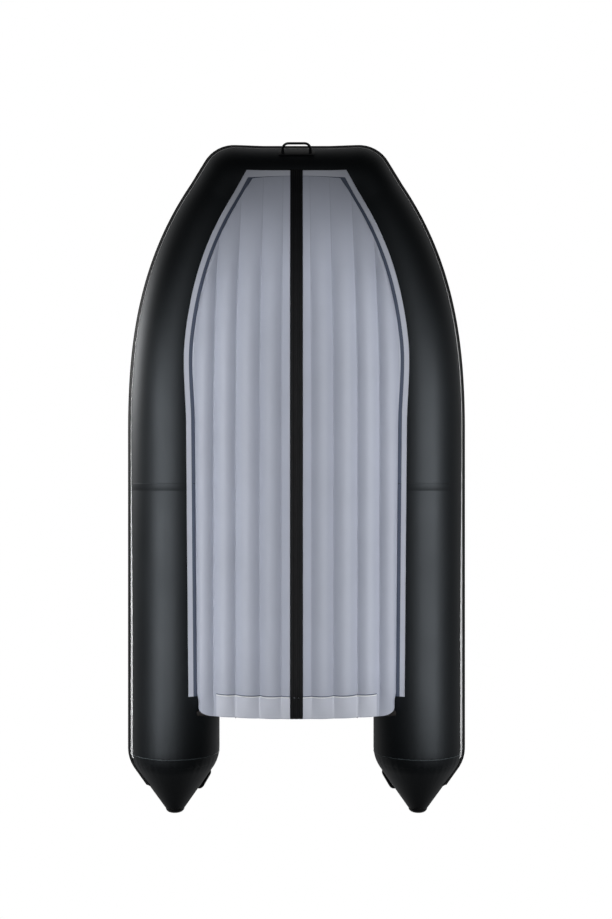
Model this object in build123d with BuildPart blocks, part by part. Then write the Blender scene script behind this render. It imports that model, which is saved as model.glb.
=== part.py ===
"""Inflatable boat of the 3.8 m class, stored upright with its air floor and benches fitted.

Millimetres, +Z up, bow towards -Y, port side towards +X. The origin is on the ground under
the middle of the boat, on its plane of symmetry.
"""

import math
import os

from build123d import *

# Hull, all over
overall_length = 3800.0  # strake at the bow to the cap on the stern cones
half_gauge = 684.0  # middle plane to the axis of a side tube
tube_radius = 250.0  # side tubes, from the stern to where the bow begins
bow_radius = 186.0  # cross tube at the bow
clearance = 0.3  # between pieces that are glued, welded or laid on each other
cut_below, cut_height = 50.0, 1000.0  # reach of the shapes that trim a piece to its plan
skin_gap = 0.6  # the same between two skins that follow the curve of the bow

# Bow
bow_run = 1400.0  # length over which the side tubes rise, taper and close in
bow_rise = 262.0  # height of the lowest line of the cross tube
bow_half = 373.0  # middle plane to the side tube's axis after the whole run
bow_inset = half_gauge - bow_half
plan_power, rise_power, taper_power = 2.8, 2.0, 1.6
corner_share = 0.93  # share of the run where the corner begins
corner_fold = 80.0  # radius of the fold inside the corner

# Stern
stern = overall_length / 2
chamber_seam = 70.0  # where the bow chamber meets the side chambers
cone_seam = stern - 296.0  # where the cones are welded on
cone_start = stern - 370.0  # where the tube starts to draw in
cone_bend = 200.0  # radius of that bend along the tube
cone_angle = 35.0  # half angle of the cone
cap_radius = 55.0
cap_length = 33.0

# Rub strake and the light tape beneath it
strake_width, strake_stand, strake_edge = 126.0, 14.0, 4.0
strake_end, tape_end = stern - 163.0, stern - 325.0  # on the cones
rib_pitch, rib_width, rib_flank, rib_groove = 27.0, 20.0, 2.0, 4.0
tape_width, tape_stand = 206.0, 1.8

# Bottom and the air mat on it
floor_end = stern - 582.0  # aft face of the transom
floor_aft = floor_end - 128.0  # where the channels begin to run out
floor_lip, lip_corner = 18.0, 67.0  # rear edge behind the transom, and how far its corners drop back
bottom_half = half_gauge - 119.0  # outermost seam
channel_shares = (0.145, 0.357, 0.589, 0.802, 1.0)  # seams, as shares of that width
channel_seams = [bottom_half * share for share in channel_shares]
seam_share, channel_depth, hem_depth = 0.74, 12.0, 3.0
fade_start, fade_end, fade_loss = 0.62, 0.96, 0.95  # channels running out, as shares of the run
bottom_front, front_bow = 12.0, 11.0  # front edge behind the cross tube's axis, and its hollow
edge_gap = 19.0  # between the flange and the bottom's side edge
side_draw, rear_shoulder, rear_sag = 8.0, 15.0, 3.5  # how the rear edge leaves the side and bows
floor_steps, floor_past = 9, 60.0  # sections in the bow, and how far the last is past its axis
nip_start, nip_loss, bow_sag = 0.75, 0.95, 5.0  # where the tubes close on the bottom
mat_thickness, mat_crown, mat_margin = 118.0, 7.0, 4.0
mat_front, mat_corner, mat_short = 185.0, 60.0, 45.0
flange_width, flange_stand, flange_lap = 27.0, 2.1, 1.0  # lap: short of the bottom in front
flange_front, flange_end = 21.0, floor_end - 106.0  # ahead of the cross tube's axis, and aft
flange_aft, flange_mid, flange_bow = 94.0, 82.0, 57.0  # inboard of the tube's axis
flange_rise = 46.5  # how high it reaches up the cross tube from its lowest line
flange_ease = 0.34  # share of the bow run over which it moves outwards
keel_width, keel_base, keel_short = 70.0, 3.0, 2.0  # it stops short of both edges of the bottom
keel_pitch, keel_crest, keel_foot, keel_rib = 24.5, 8.0, 15.0, 3.5
hem_share, hem_front, hem_bow = 0.775, 120.0, 16.0  # half width, start ahead of floor_end, bow
band_stand, band_lead = 2.0, 6.0  # thickness, and where the keel strip steps over it

# Transom
transom_thickness, transom_rake = 27.0, 5.0
transom_height, transom_notch = 455.0, 395.0
notch_width, notch_slope = 420.0, 60.0
holder_wall, holder_lap = 5.0, 38.0
pad_width, pad_height, pad_thickness = 270.0, 210.0, 8.0
inner_pad_width, inner_pad_height, inner_pad_thickness = 250.0, 140.0, 6.0
pad_corner, pad_edge, pad_drop, inner_pad_drop = 18.0, 2.0, 8.0, 38.0
drain_bore, drain_rim, drain_x, drain_z = 34.0, 12.0, -150.0, 90.0
drain_flange, drain_lip, drain_spout = 5.0, 4.0, 9.0
eye_in, eye_z, eye_bore, eye_rod = 89.0, 300.0, 26.0, 8.0  # eye_in is from the tube's inner side
eye_plate_width, eye_plate_height, eye_plate, eye_corner, eye_reach = 46.0, 70.0, 4.0, 10.0, 14.0
holder_low, holder_high = 62.0, 440.0

# Benches on their rails
rail_angle = 45.0  # round the tube from its inner side
rail_start, rail_end = -240.0, 1040.0
rail_foot, rail_head, rail_neck, rail_flange, rail_wrap = 45.0, 26.0, 10.0, 5.0, 3.5
shoe_width, shoe_length, shoe_wall, shoe_play = 46.0, 180.0, 4.0, 0.6
slide_gap = 5.0  # bench fittings over the skin of the tube
bench_width, bench_thickness, bench_over = 220.0, 18.0, 42.0
bench_corner, bench_edge = 28.0, 4.0
front_bench_y, rear_bench_y = 60.0, 760.0

# Rowlocks
rowlock_y = 420.0
rowlock_patch, patch_stand, hub_length, hub_diameter = 130.0, 3.0, 30.0, 26.0
cheek_thickness, cheek_width, cheek_gap = 7.0, 30.0, 0.5
plate_width, plate_margin, plate_low, plate_thickness = 44.0, 7.0, 1.5, 5.0
neck_diameter, neck_rise, axle_end, stud_chamfer = 18.0, 5.0, 2.0, 1.5
axle_diameter, axle_play, axle_height = 10.0, 0.1, 22.0
stud_diameter, stud_length = 12.0, 42.0

# Valves and handles
valve_flange, valve_cap, valve_stand = 66.0, 42.0, 9.0
grip_diameter, grip_pad = 18.0, 46.0
grip_plate, grip_round, pad_round = 4.0, 0.55, 18.4  # plate thickness, bend as a share of the stand
bow_grip_span, bow_grip_stand, bow_grip_gap = 157.0, 52.0, 20.0  # gap: below the tape
side_grip_span, side_grip_stand, side_grip_angle, side_grip_y = 190.0, 38.0, 42.0, 760.0
cone_grip_span, cone_grip_stand, cone_grip_angle = 110.0, 38.0, 30.0
cone_grip_y = stern - 182.0
valve_rise, valve_foot, valve_y, bow_valve = 25.0, 3.5, floor_aft - 40.0, 130.0
cap_foot, cap_edge, mat_valve_x, mat_valve_ahead = 2.0, 2.0, 142.0, 60.0

os.makedirs("parts", exist_ok=True)


def save(name, piece):
    """Label a finished piece and write it under its own name."""
    piece.part.label = name
    export_step(piece.part, f"parts/{name}.step")


# ---------------------------------------------------------------- the line of the tubes

bow_axis = -stern + strake_stand + bow_radius  # Y of the cross tube


def tube_size(share):
    return tube_radius - (tube_radius - bow_radius) * share**taper_power


def heading(share):
    """Direction of the side tube towards the bow, in plan."""
    return Vector(-bow_inset * plan_power * share ** (plan_power - 1), -bow_run, 0).normalized()


def outward(share):
    """Horizontal direction from the tube's axis to its outer side."""
    ahead = heading(share)
    return Vector(-ahead.Y, ahead.X, 0)


corner_turn = math.degrees(math.atan2(outward(corner_share).X, -outward(corner_share).Y))
corner_reach = tube_size(corner_share) + corner_fold
bow_start = (
    bow_axis
    + bow_run * corner_share
    + (bow_radius + corner_fold)
    + outward(corner_share).Y * corner_reach
)


def rise(y):
    """Height of the lowest line of the hull over the ground at Y."""
    share = max(0.0, (bow_start - y) / (bow_start - bow_axis))
    return bow_rise * min(1.0, share) ** rise_power


def side_place(y):
    """Centre, outward direction and half sizes of the port tube at Y, up to the corner."""
    share = max(0.0, (bow_start - y) / bow_run)
    radius = tube_size(share)
    centre = Vector(half_gauge - bow_inset * share**plan_power, y, rise(y) + radius)
    return centre, outward(share), radius, radius


def corner_width(angle, radius):
    """Width of the mitred, rounded corner at an angle from the side tube's square end."""
    swing = math.radians(min(angle, corner_turn - angle))
    bend = math.radians(corner_turn / 2)
    straight = (corner_fold + 2 * radius) / math.cos(swing)
    if straight * math.sin(swing) <= (corner_fold + radius) * math.tan(bend):
        return straight - corner_fold
    diagonal = (corner_fold + radius) / math.cos(bend)
    aside = diagonal * math.sin(bend - swing)
    return diagonal * math.cos(bend - swing) + math.sqrt(radius**2 - aside**2) - corner_fold


def corner_place(turned):
    """The same round the corner, from 1 where it begins to 0 at the cross tube."""
    first, out, first_radius, _ = side_place(bow_start - bow_run * corner_share)
    pivot = first - out * corner_reach
    radius = bow_radius + (first_radius - bow_radius) * turned
    half_width = corner_width(corner_turn * turned, radius) / 2
    angle = math.radians(corner_turn * turned)
    out = Vector(math.sin(angle), -math.cos(angle), 0)
    level = bow_rise + bow_radius
    height = level + (first.Z - level) * turned**1.3
    centre = pivot + out * (corner_fold + half_width)
    return Vector(centre.X, centre.Y, height), out, half_width, radius


corner_start = bow_start - bow_run * corner_share
side_steps = 12
corner_steps = 6
bow_places = [side_place(bow_start + (corner_start - bow_start) * i / side_steps)
              for i in range(side_steps + 1)]
bow_places += [corner_place(1 - i / corner_steps) for i in range(1, corner_steps + 1)]
corner_end = bow_places[-1][0].X  # where the straight cross tube begins
bow_places += [
    (Vector(x, bow_axis, bow_rise + bow_radius), Vector(0, -1, 0), bow_radius, bow_radius)
    for x in (corner_end * 2 / 3, corner_end / 3, 0)
]


def across(place):
    """Section plane of a tube: X outwards, Y up, Z towards the bow."""
    centre, out, _, _ = place
    return Plane(origin=centre, x_dir=out, z_dir=Vector(out.Y, -out.X, 0))


def surface(place, height, stand):
    """Outward distance of the tube's skin at a height over its axis, grown by stand."""
    _, _, half_width, half_height = place
    return (half_width + stand) * math.sqrt(1 - (height / (half_height + stand)) ** 2)


# ---------------------------------------------------------------- chambers


def bow_form(stand, aft):
    """Port half of the bow tubes, with the side tube back to Y aft, grown by stand."""
    with BuildPart() as form:
        for place in bow_places:
            with BuildSketch(across(place)):
                Ellipse(place[2] + stand, place[3] + stand)
        loft(ruled=True)
        with BuildSketch(across(side_place(aft))):
            Circle(tube_radius + stand)
        extrude(amount=aft - bow_start)
    return form.part


with BuildPart() as bow_chamber:
    add(bow_form(0, chamber_seam))
    mirror(about=Plane.YZ)
save("bow_chamber", bow_chamber)

turn = math.radians(cone_angle)
bend_end = cone_start + cone_bend * math.sin(turn)
bend_radius = tube_radius - cone_bend * (1 - math.cos(turn))
tip = stern - cap_length
tip_radius = bend_radius - (tip - bend_end) * math.tan(turn)


def cone_profile():
    """Half outline of the whole aft tube, in the plane of its axis and the ground's X."""
    x = half_gauge
    with BuildSketch() as outline:
        with BuildLine():
            Line((x, chamber_seam), (x + tube_radius, chamber_seam))
            Line((x + tube_radius, chamber_seam), (x + tube_radius, cone_start))
            RadiusArc((x + tube_radius, cone_start), (x + bend_radius, bend_end), -cone_bend)
            Line((x + bend_radius, bend_end), (x + tip_radius, tip))
            Line((x + tip_radius, tip), (x, tip))
            Line((x, tip), (x, chamber_seam))
        make_face()
    return outline.sketch


with BuildPart() as port_tube:
    with BuildSketch(Plane.XY.offset(tube_radius)):
        add(cone_profile())
    revolve(axis=Axis((half_gauge, 0, tube_radius), (0, 1, 0)))

seam_plane = Plane(origin=(0, cone_seam, 0), z_dir=(0, 1, 0))
with BuildPart() as port_chamber:
    add(port_tube.part)
    split(bisect_by=seam_plane, keep=Keep.BOTTOM)
with BuildPart() as port_cone:
    add(port_tube.part)
    split(bisect_by=seam_plane, keep=Keep.TOP)
with BuildPart() as starboard_chamber:
    add(mirror(port_chamber.part, about=Plane.YZ, mode=Mode.PRIVATE))
with BuildPart() as starboard_cone:
    add(mirror(port_cone.part, about=Plane.YZ, mode=Mode.PRIVATE))
save("port_chamber", port_chamber)
save("port_cone", port_cone)
save("starboard_chamber", starboard_chamber)
save("starboard_cone", starboard_cone)

with BuildPart() as cone_caps:
    with BuildSketch(Plane(origin=(half_gauge, tip, tube_radius), z_dir=(0, 1, 0))):
        Circle(cap_radius)
    extrude(amount=cap_length)
    fillet(cone_caps.edges().filter_by(GeomType.CIRCLE).sort_by(Axis.Y)[-1], cap_length * 0.8)
    mirror(about=Plane.YZ)
save("cone_caps", cone_caps)

# ---------------------------------------------------------------- rub strake

bend_steps = 4


def cone_place(y):
    """Centre, outward direction and half sizes of the port tube where it draws in."""
    swing = math.asin(min(1.0, (y - cone_start) / cone_bend))
    radius = tube_radius - cone_bend * (1 - math.cos(swing))
    if y > bend_end:
        radius = bend_radius - (y - bend_end) * math.tan(turn)
    return Vector(half_gauge, y, tube_radius), Vector(1, 0, 0), radius, radius


def along_strake(outline, aft):
    """Port half of a strip along the tubes, from the bow to Y aft on the cone."""
    bend = [cone_start + cone_bend * math.sin(turn * i / bend_steps) for i in range(bend_steps + 1)]
    bend = sorted(bend + [tape_end])
    with BuildPart() as strip:
        for place in bow_places:
            with BuildSketch(across(place)):
                add(outline(place))
        loft(ruled=True)
        with BuildSketch(across(side_place(cone_start))):
            add(outline(side_place(cone_start)))
        extrude(amount=cone_start - bow_start)
        for y in [y for y in bend if y < aft] + [aft]:
            with BuildSketch(across(cone_place(y))):
                add(outline(cone_place(y)))
        loft(ruled=True)
    return strip.part


def strake_outline(place):
    """Ribbed moulding laid on the tape: three ribs between thin edges."""
    low = tape_stand + skin_gap
    edge = strake_width / 2
    ribs = [(-edge, low + strake_edge), (-edge + 1.5 * rib_groove, low + strake_edge)]
    for middle in (-rib_pitch, 0, rib_pitch):
        crest, foot = rib_width / 2, rib_width / 2 + rib_flank
        ribs += [(middle - foot, strake_stand - rib_groove), (middle - crest, strake_stand),
                 (middle + crest, strake_stand), (middle + foot, strake_stand - rib_groove)]
    ribs += [(edge - 1.5 * rib_groove, low + strake_edge), (edge, low + strake_edge)]
    outer = [(surface(place, h, 0) + t, h) for h, t in ribs]
    foot = surface(place, edge, low)
    with BuildSketch() as outline:
        with BuildLine():
            Polyline((foot, -edge), *outer, (foot, edge))
            ThreePointArc((foot, edge), (place[2] + low, 0), (foot, -edge))
        make_face()
    return outline.sketch


def tape_outline(place):
    """Thin tape wrapped on the outer side of the tube."""
    half = tape_width / 2
    inner, outer = surface(place, half, skin_gap), surface(place, half, tape_stand)
    with BuildSketch() as outline:
        with BuildLine():
            ThreePointArc((inner, -half), (place[2] + skin_gap, 0), (inner, half))
            Line((inner, half), (outer, half))
            ThreePointArc((outer, half), (place[2] + tape_stand, 0), (outer, -half))
            Line((outer, -half), (inner, -half))
        make_face()
    return outline.sketch


with BuildPart() as strake_tape:
    add(along_strake(tape_outline, tape_end))
    mirror(about=Plane.YZ)
save("strake_tape", strake_tape)

with BuildPart() as rub_strake:
    add(along_strake(strake_outline, strake_end))
    mirror(about=Plane.YZ)
save("rub_strake", rub_strake)

# ---------------------------------------------------------------- bottom and air mat

bow_stations = [bow_start + (bow_axis - floor_past - bow_start) * i / floor_steps
                for i in range(floor_steps + 1)]
rear_edge = floor_end + floor_lip


def share_at(y):
    return min(1.0, max(0.0, (bow_start - y) / (bow_start - bow_axis)))


def flange_in(y):
    """Distance inboard of the tube's axis to the outer edge of the flange at Y."""
    if y > bow_start:
        return flange_mid + (flange_aft - flange_mid) * (y - bow_start) / (flange_end - bow_start)
    ease = max(0.0, 1 - share_at(y) / flange_ease)
    return flange_bow + (flange_mid - flange_bow) * ease**2 * (3 - 2 * ease)


def bottom_in(y):
    return flange_in(y) + flange_width + edge_gap


def bottom_top(y):
    """Height of the bottom's upper face over the hull's lowest line at Y."""
    y = min(y, bow_start)
    share = share_at(y)
    nip = max(0.0, (share - nip_start) / (1 - nip_start))
    radius = tube_size(share)
    fit = radius - math.sqrt(radius**2 - bottom_in(y) ** 2) - 2 * clearance - bow_sag * share
    return fit * (1 - nip_loss * nip**3)


def depth_at(y):
    """Depth of the channels at Y: they run out in the bow and towards the rear edge."""
    if y > floor_aft:
        return channel_depth + (hem_depth - channel_depth) * (y - floor_aft) / (rear_edge - floor_aft)
    share = share_at(y)
    gone = min(1.0, max(0.0, (share - fade_start) / (fade_end - fade_start)))
    return channel_depth * (1 - fade_loss * gone)


def upright(y):
    """Plane across the boat at Y: X port, Y up, Z towards the bow."""
    return Plane(origin=(0, y, 0), x_dir=(1, 0, 0), z_dir=(0, -1, 0))


def seam_level(y):
    return rise(y) + bottom_top(y) * seam_share


def bottom_section(y, drop=0.0):
    """Nine channels bulging down between their seams, flat on top, lowered by drop."""
    top, seam = rise(y) + bottom_top(y) - drop, seam_level(y) - drop
    seams = [-x for x in reversed(channel_seams)] + channel_seams
    with BuildSketch() as outline:
        with BuildLine():
            for left, right in zip(seams, seams[1:]):
                ThreePointArc((left, seam), ((left + right) / 2, seam - depth_at(y)), (right, seam))
            Polyline((seams[-1], seam), (seams[-1], top), (seams[0], top), (seams[0], seam))
        make_face()
    return outline.sketch


def mat_section(y):
    """The mat over it: flat below, crowned between its seams on the deck side."""
    foot = rise(y) + bottom_top(y) + 1.5 * skin_gap
    deck = foot + mat_thickness
    valley = deck - mat_crown * max(0.3, depth_at(min(y, floor_aft)) / channel_depth)
    seams = [-x for x in reversed(channel_seams)] + channel_seams
    with BuildSketch() as outline:
        with BuildLine():
            for left, right in zip(seams, seams[1:]):
                ThreePointArc((left, valley), ((left + right) / 2, deck), (right, valley))
            Polyline((seams[-1], valley), (seams[-1], foot), (seams[0], foot), (seams[0], valley))
        make_face()
    return outline.sketch


def mat_in(y):
    """Distance from a tube's axis to its inner side at the height of the mat's deck."""
    radius = tube_size(share_at(y))
    return math.sqrt(radius**2 - (radius - mat_thickness - 30) ** 2) + mat_margin


def side_line(inset, aft):
    """Points and end directions of a line along the inside of the port tube, from Y aft."""
    steps = 8
    curve = [(half_gauge - inset(bow_start), bow_start)]
    for i in range(1, steps + 1):
        y = bow_start + (corner_start - bow_start) * i / steps
        centre, out, _, _ = side_place(y)
        point = centre - out * inset(y)
        curve.append((point.X, point.Y))
    start = (half_gauge - inset(aft), aft)
    ahead = (Vector(*curve[0]) - Vector(*start)).normalized()
    last = heading(corner_share)
    return start, curve, [(ahead.X, ahead.Y), (last.X, last.Y)]


def front_corner(curve, tangents, front):
    """Where the side line meets the front edge."""
    (x, y), (run_x, run_y) = curve[-1], tangents[-1]
    return x + run_x * (front - y) / run_y, front


def side_edges(start, curve, tangents, corner):
    Line(start, curve[0])
    Spline(*curve, tangents=tangents)
    Line(curve[-1], corner)


def bottom_outline():
    """Plan of the bottom: along the flange, with a bowed rear edge and round corners."""
    start, curve, tangents = side_line(bottom_in, floor_aft)
    front = bow_axis + bottom_front
    corner = front_corner(curve, tangents, front + front_bow)
    hem = hem_share * bottom_half
    side = start[0] - side_draw
    turn_in = rear_edge - lip_corner
    shoulder = rear_edge - rear_shoulder
    with BuildSketch() as outline:
        with BuildLine():
            side_edges(start, curve, tangents, corner)
            ThreePointArc(corner, (corner[0] / 2, front + front_bow * 0.3), (0, front))
            Line((0, front), (0, rear_edge))
            ThreePointArc((0, rear_edge), (hem / 2, rear_edge - rear_sag), (hem, shoulder))
            EllipticalCenterArc((hem, turn_in), side - hem, shoulder - turn_in, arc_size=90)
            Line((side, turn_in), start)
        make_face()
        mirror(about=Plane.YZ)
    return outline.sketch


def mat_outline():
    """Plan of the mat: along the tubes, square at both ends."""
    start, curve, tangents = side_line(mat_in, floor_end)
    front = bow_axis + mat_front
    corner = front_corner(curve, tangents, front)
    straight = (Vector(*corner) - Vector(*curve[-1])).length
    half_turn = math.atan2(-tangents[-1][1], -tangents[-1][0]) / 2
    with BuildSketch() as outline:
        with BuildLine():
            side_edges(start, curve, tangents, corner)
            Polyline(corner, (0, front), (0, floor_end), start)
        make_face()
        fillet(outline.vertices().sort_by_distance(Vector(*corner))[0],
               min(mat_corner, straight / math.tan(half_turn)))
        mirror(about=Plane.YZ)
    return outline.sketch


with BuildPart() as bottom:
    for y in bow_stations:
        with BuildSketch(upright(y)):
            add(bottom_section(y))
    loft(ruled=True)
    with BuildSketch(upright(floor_aft)):
        add(bottom_section(floor_aft))
    extrude(amount=floor_aft - bow_start)
    for y in (floor_aft, rear_edge):
        with BuildSketch(upright(y)):
            add(bottom_section(y))
    loft(ruled=True)
    with BuildSketch(Plane.XY.offset(-cut_below)):
        add(bottom_outline())
    extrude(amount=cut_height, mode=Mode.INTERSECT)
save("bottom", bottom)

mat_aft = floor_end - mat_short
with BuildPart() as air_mat:
    for y in bow_stations:
        with BuildSketch(upright(y)):
            add(mat_section(y))
    loft(ruled=True)
    with BuildSketch(upright(mat_aft)):
        add(mat_section(mat_aft))
    extrude(amount=mat_aft - bow_start)
    with BuildSketch(Plane.XY.offset(-cut_below)):
        add(mat_outline())
    extrude(amount=cut_height, mode=Mode.INTERSECT)
save("air_mat", air_mat)


def flange_plan():
    """Plan of the flange: a strip along the tubes with mitred corners, and a wider front."""
    edges = []
    for inset, front in ((flange_in, -flange_front),
                         (lambda y: flange_in(y) + flange_width, bottom_front - flange_lap)):
        start, curve, tangents = side_line(inset, flange_end)
        bow = 0 if front < 0 else front_bow
        edges.append((start, curve, tangents, front_corner(curve, tangents, bow_axis + front + bow)))
    outer, inner = edges
    middle = bow_axis + bottom_front - flange_lap
    with BuildSketch() as outline:
        with BuildLine():
            side_edges(*outer)
            Polyline(outer[3], (0, bow_axis - flange_front), (0, middle))
            ThreePointArc((0, middle), (inner[3][0] / 2, middle + front_bow * 0.3), inner[3])
            side_edges(*inner)
            Line(inner[0], outer[0])
        make_face()
    return outline.sketch


with BuildPart() as floor_flange:
    add(bow_form(flange_stand, flange_end))
    add(bow_form(1.5 * skin_gap, flange_end), mode=Mode.SUBTRACT)
    with BuildSketch(Plane.XY.offset(-cut_below)):
        add(flange_plan())
    extrude(amount=cut_below + bow_rise + flange_rise, mode=Mode.INTERSECT)
    mirror(about=Plane.YZ)
save("floor_flange", floor_flange)


def keel_section(y, drop=0.0):
    """Strip with three ribs, laid under the middle channel."""
    crest = seam_level(y) - depth_at(y) - clearance - drop
    half, low = keel_width / 2, crest - keel_base
    points = [(-half, low)]
    for middle in (-keel_pitch, 0, keel_pitch):
        points += [(middle - keel_foot / 2, low), (middle - keel_crest / 2, low - keel_rib),
                   (middle + keel_crest / 2, low - keel_rib), (middle + keel_foot / 2, low)]
    points += [(half, low), (half, crest), (-half, crest)]
    with BuildSketch() as outline:
        with BuildLine():
            Polyline(*points, close=True)
        make_face()
    return outline.sketch


band_drop = band_stand + 2 * clearance
with BuildPart() as keel_strip:
    for y in bow_stations:
        with BuildSketch(upright(y)):
            add(keel_section(y))
    loft(ruled=True)
    split(bisect_by=upright(bow_axis + bottom_front + keel_short), keep=Keep.BOTTOM)
    with BuildSketch(upright(floor_aft)):
        add(keel_section(floor_aft))
    extrude(amount=floor_aft - bow_start)
    over_band = floor_end - hem_front + hem_bow - band_lead
    for y, drop in ((floor_aft, 0), (over_band, band_drop), (rear_edge - keel_short, band_drop)):
        with BuildSketch(upright(y)):
            add(keel_section(y, drop))
    loft(ruled=True)
save("keel_strip", keel_strip)


def stern_form(drop):
    """The bottom's form over its last stretch, lowered by drop."""
    with BuildPart() as form:
        for y in (floor_aft, rear_edge):
            with BuildSketch(upright(y)):
                add(bottom_section(y, drop))
        loft(ruled=True)
    return form.part


with BuildPart() as rear_band:
    add(stern_form(clearance + band_stand))
    add(stern_form(clearance), mode=Mode.SUBTRACT)
    with BuildSketch(Plane.XY.offset(-cut_below)):
        hem, front = hem_share * bottom_half, floor_end - hem_front
        with BuildLine():
            ThreePointArc((-hem, front), (0, front + hem_bow), (hem, front))
            Line((hem, front), (hem, rear_edge - rear_shoulder))
            ThreePointArc((hem, rear_edge - rear_shoulder), (0, rear_edge),
                          (-hem, rear_edge - rear_shoulder))
            Line((-hem, rear_edge - rear_shoulder), (-hem, front))
        make_face()
    extrude(amount=cut_height, mode=Mode.INTERSECT)
save("rear_band", rear_band)

# ---------------------------------------------------------------- transom

lean = math.radians(transom_rake)
board_foot = bottom_top(floor_end) + clearance


def raked(depth):
    """Plane of the transom, depth ahead of its aft face: X port, Y up, Z forward."""
    face = Plane(origin=(0, floor_end, board_foot), x_dir=(1, 0, 0),
                 z_dir=(0, -math.cos(lean), math.sin(lean)))
    return face.offset(depth)


def slice_raked(start, end):
    """Cut the current part to the slice between two raked planes."""
    split(bisect_by=raked(start), keep=Keep.TOP)
    split(bisect_by=raked(end), keep=Keep.BOTTOM)


def wing_x(z, gap):
    """Distance from the middle plane to the inner side of a tube grown by gap, at height z."""
    return half_gauge - math.sqrt((tube_radius + gap) ** 2 - (z - tube_radius) ** 2)


def board_outline(gap):
    side = half_gauge - tube_radius - gap
    low, high = (wing_x(board_foot, gap), board_foot), (wing_x(transom_height, gap), transom_height)
    notch = notch_width / 2
    with BuildSketch() as outline:
        with BuildLine():
            ThreePointArc(low, (side, tube_radius), high)
            Polyline(high, (notch + notch_slope, transom_height), (notch, transom_notch),
                     (0, transom_notch), (0, board_foot), low)
        make_face()
        mirror(about=Plane.YZ)
    return outline.sketch


def arc_band(inner, outer, low, high):
    """Band round the port tube's axis in a plane across the boat, between two heights."""
    ends = [[(wing_x(z, gap), z) for z in (low, high)] for gap in (inner, outer)]
    with BuildSketch() as outline:
        with BuildLine():
            for (a, b), gap in zip(ends, (inner, outer)):
                ThreePointArc(a, (half_gauge - tube_radius - gap, tube_radius), b)
            Line(ends[0][0], ends[1][0])
            Line(ends[0][1], ends[1][1])
        make_face()
    return outline.sketch


stern_span = 2 * transom_height * math.tan(lean) + 4 * transom_thickness
with BuildPart() as transom:
    with BuildSketch(upright(floor_end + stern_span)):
        add(board_outline(holder_wall + 2 * clearance))
    extrude(amount=2 * stern_span)
    slice_raked(0, transom_thickness)
    with BuildSketch(raked(0)):
        with Locations((drain_x, drain_z - board_foot)):
            Circle(drain_bore / 2)
    extrude(amount=transom_thickness, mode=Mode.SUBTRACT)
save("transom", transom)

with BuildPart() as transom_holders:
    with BuildSketch(upright(floor_end + stern_span)):
        add(arc_band(clearance, holder_lap, holder_low, holder_high))
    extrude(amount=2 * stern_span)
    slice_raked(-holder_wall - clearance, transom_thickness + holder_wall + clearance)
    with BuildPart(mode=Mode.PRIVATE) as slot:
        with BuildSketch(upright(floor_end + stern_span)):
            add(arc_band(holder_wall, 2 * holder_lap, holder_low - holder_wall, holder_high + holder_wall))
        extrude(amount=2 * stern_span)
        slice_raked(-clearance, transom_thickness + clearance)
    add(slot.part, mode=Mode.SUBTRACT)
    mirror(about=Plane.YZ)
save("transom_holders", transom_holders)

pad_middle = transom_notch - board_foot - pad_height / 2 - pad_drop
with BuildPart() as outer_motor_pad:
    with BuildSketch(raked(-clearance)):
        with Locations((0, pad_middle)):
            RectangleRounded(pad_width, pad_height, pad_corner)
    extrude(amount=-pad_thickness)
    chamfer(outer_motor_pad.faces().sort_by(Axis.Y)[-1].edges(), pad_edge)
save("outer_motor_pad", outer_motor_pad)

with BuildPart() as inner_motor_pad:
    with BuildSketch(raked(transom_thickness + clearance)):
        with Locations((0, pad_middle + inner_pad_drop - pad_drop)):
            RectangleRounded(inner_pad_width, inner_pad_height, pad_corner)
    extrude(amount=inner_pad_thickness)
    chamfer(inner_motor_pad.faces().sort_by(Axis.Y)[0].edges(), pad_edge)
save("inner_motor_pad", inner_motor_pad)

with BuildPart() as drain_valve:
    with BuildSketch(raked(-clearance)):
        with Locations((drain_x, drain_z - board_foot)):
            Circle(drain_bore / 2 + drain_rim)
    extrude(amount=-drain_flange)
    with BuildSketch(raked(-clearance)):
        with Locations((drain_x, drain_z - board_foot)):
            Circle(drain_bore / 2 - clearance)
    extrude(amount=transom_thickness + drain_lip)
    with BuildSketch(raked(-drain_flange)):
        with Locations((drain_x, drain_z - board_foot)):
            Circle(drain_bore / 2)
    extrude(amount=-drain_spout)
save("drain_valve", drain_valve)

eye_x = half_gauge - tube_radius - eye_in
with BuildPart() as tow_eyes:
    for side in (-1, 1):
        with BuildSketch(raked(-clearance)):
            with Locations((side * eye_x, eye_z - board_foot)):
                RectangleRounded(eye_plate_width, eye_plate_height, eye_corner)
        extrude(amount=-eye_plate)
        arm = eye_bore / 2 + eye_rod / 2
        root = raked(-eye_plate).from_local_coords((side * eye_x, eye_z - board_foot, 0))
        upward = raked(0).y_dir
        with BuildLine() as loop:
            reach = raked(0).z_dir * -eye_reach
            a, b = root + upward * arm, root - upward * arm
            Line(a, a + reach)
            ThreePointArc(a + reach, root + reach - raked(0).z_dir * arm, b + reach)
            Line(b + reach, b)
        with BuildSketch(Plane(origin=loop.line @ 0, z_dir=loop.line % 0)):
            Circle(eye_rod / 2)
        sweep(path=loop.line)
save("tow_eyes", tow_eyes)

# ---------------------------------------------------------------- benches

rail_x = half_gauge - tube_radius * math.cos(math.radians(rail_angle))
shoe_foot = slide_gap + tube_radius + math.sqrt(
    tube_radius**2 - (half_gauge - rail_x - shoe_width / 2) ** 2)
head_foot = shoe_foot + shoe_wall
head_top = head_foot + rail_flange
shoe_top = head_top + shoe_play + shoe_wall
board_level = shoe_top + clearance


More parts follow.
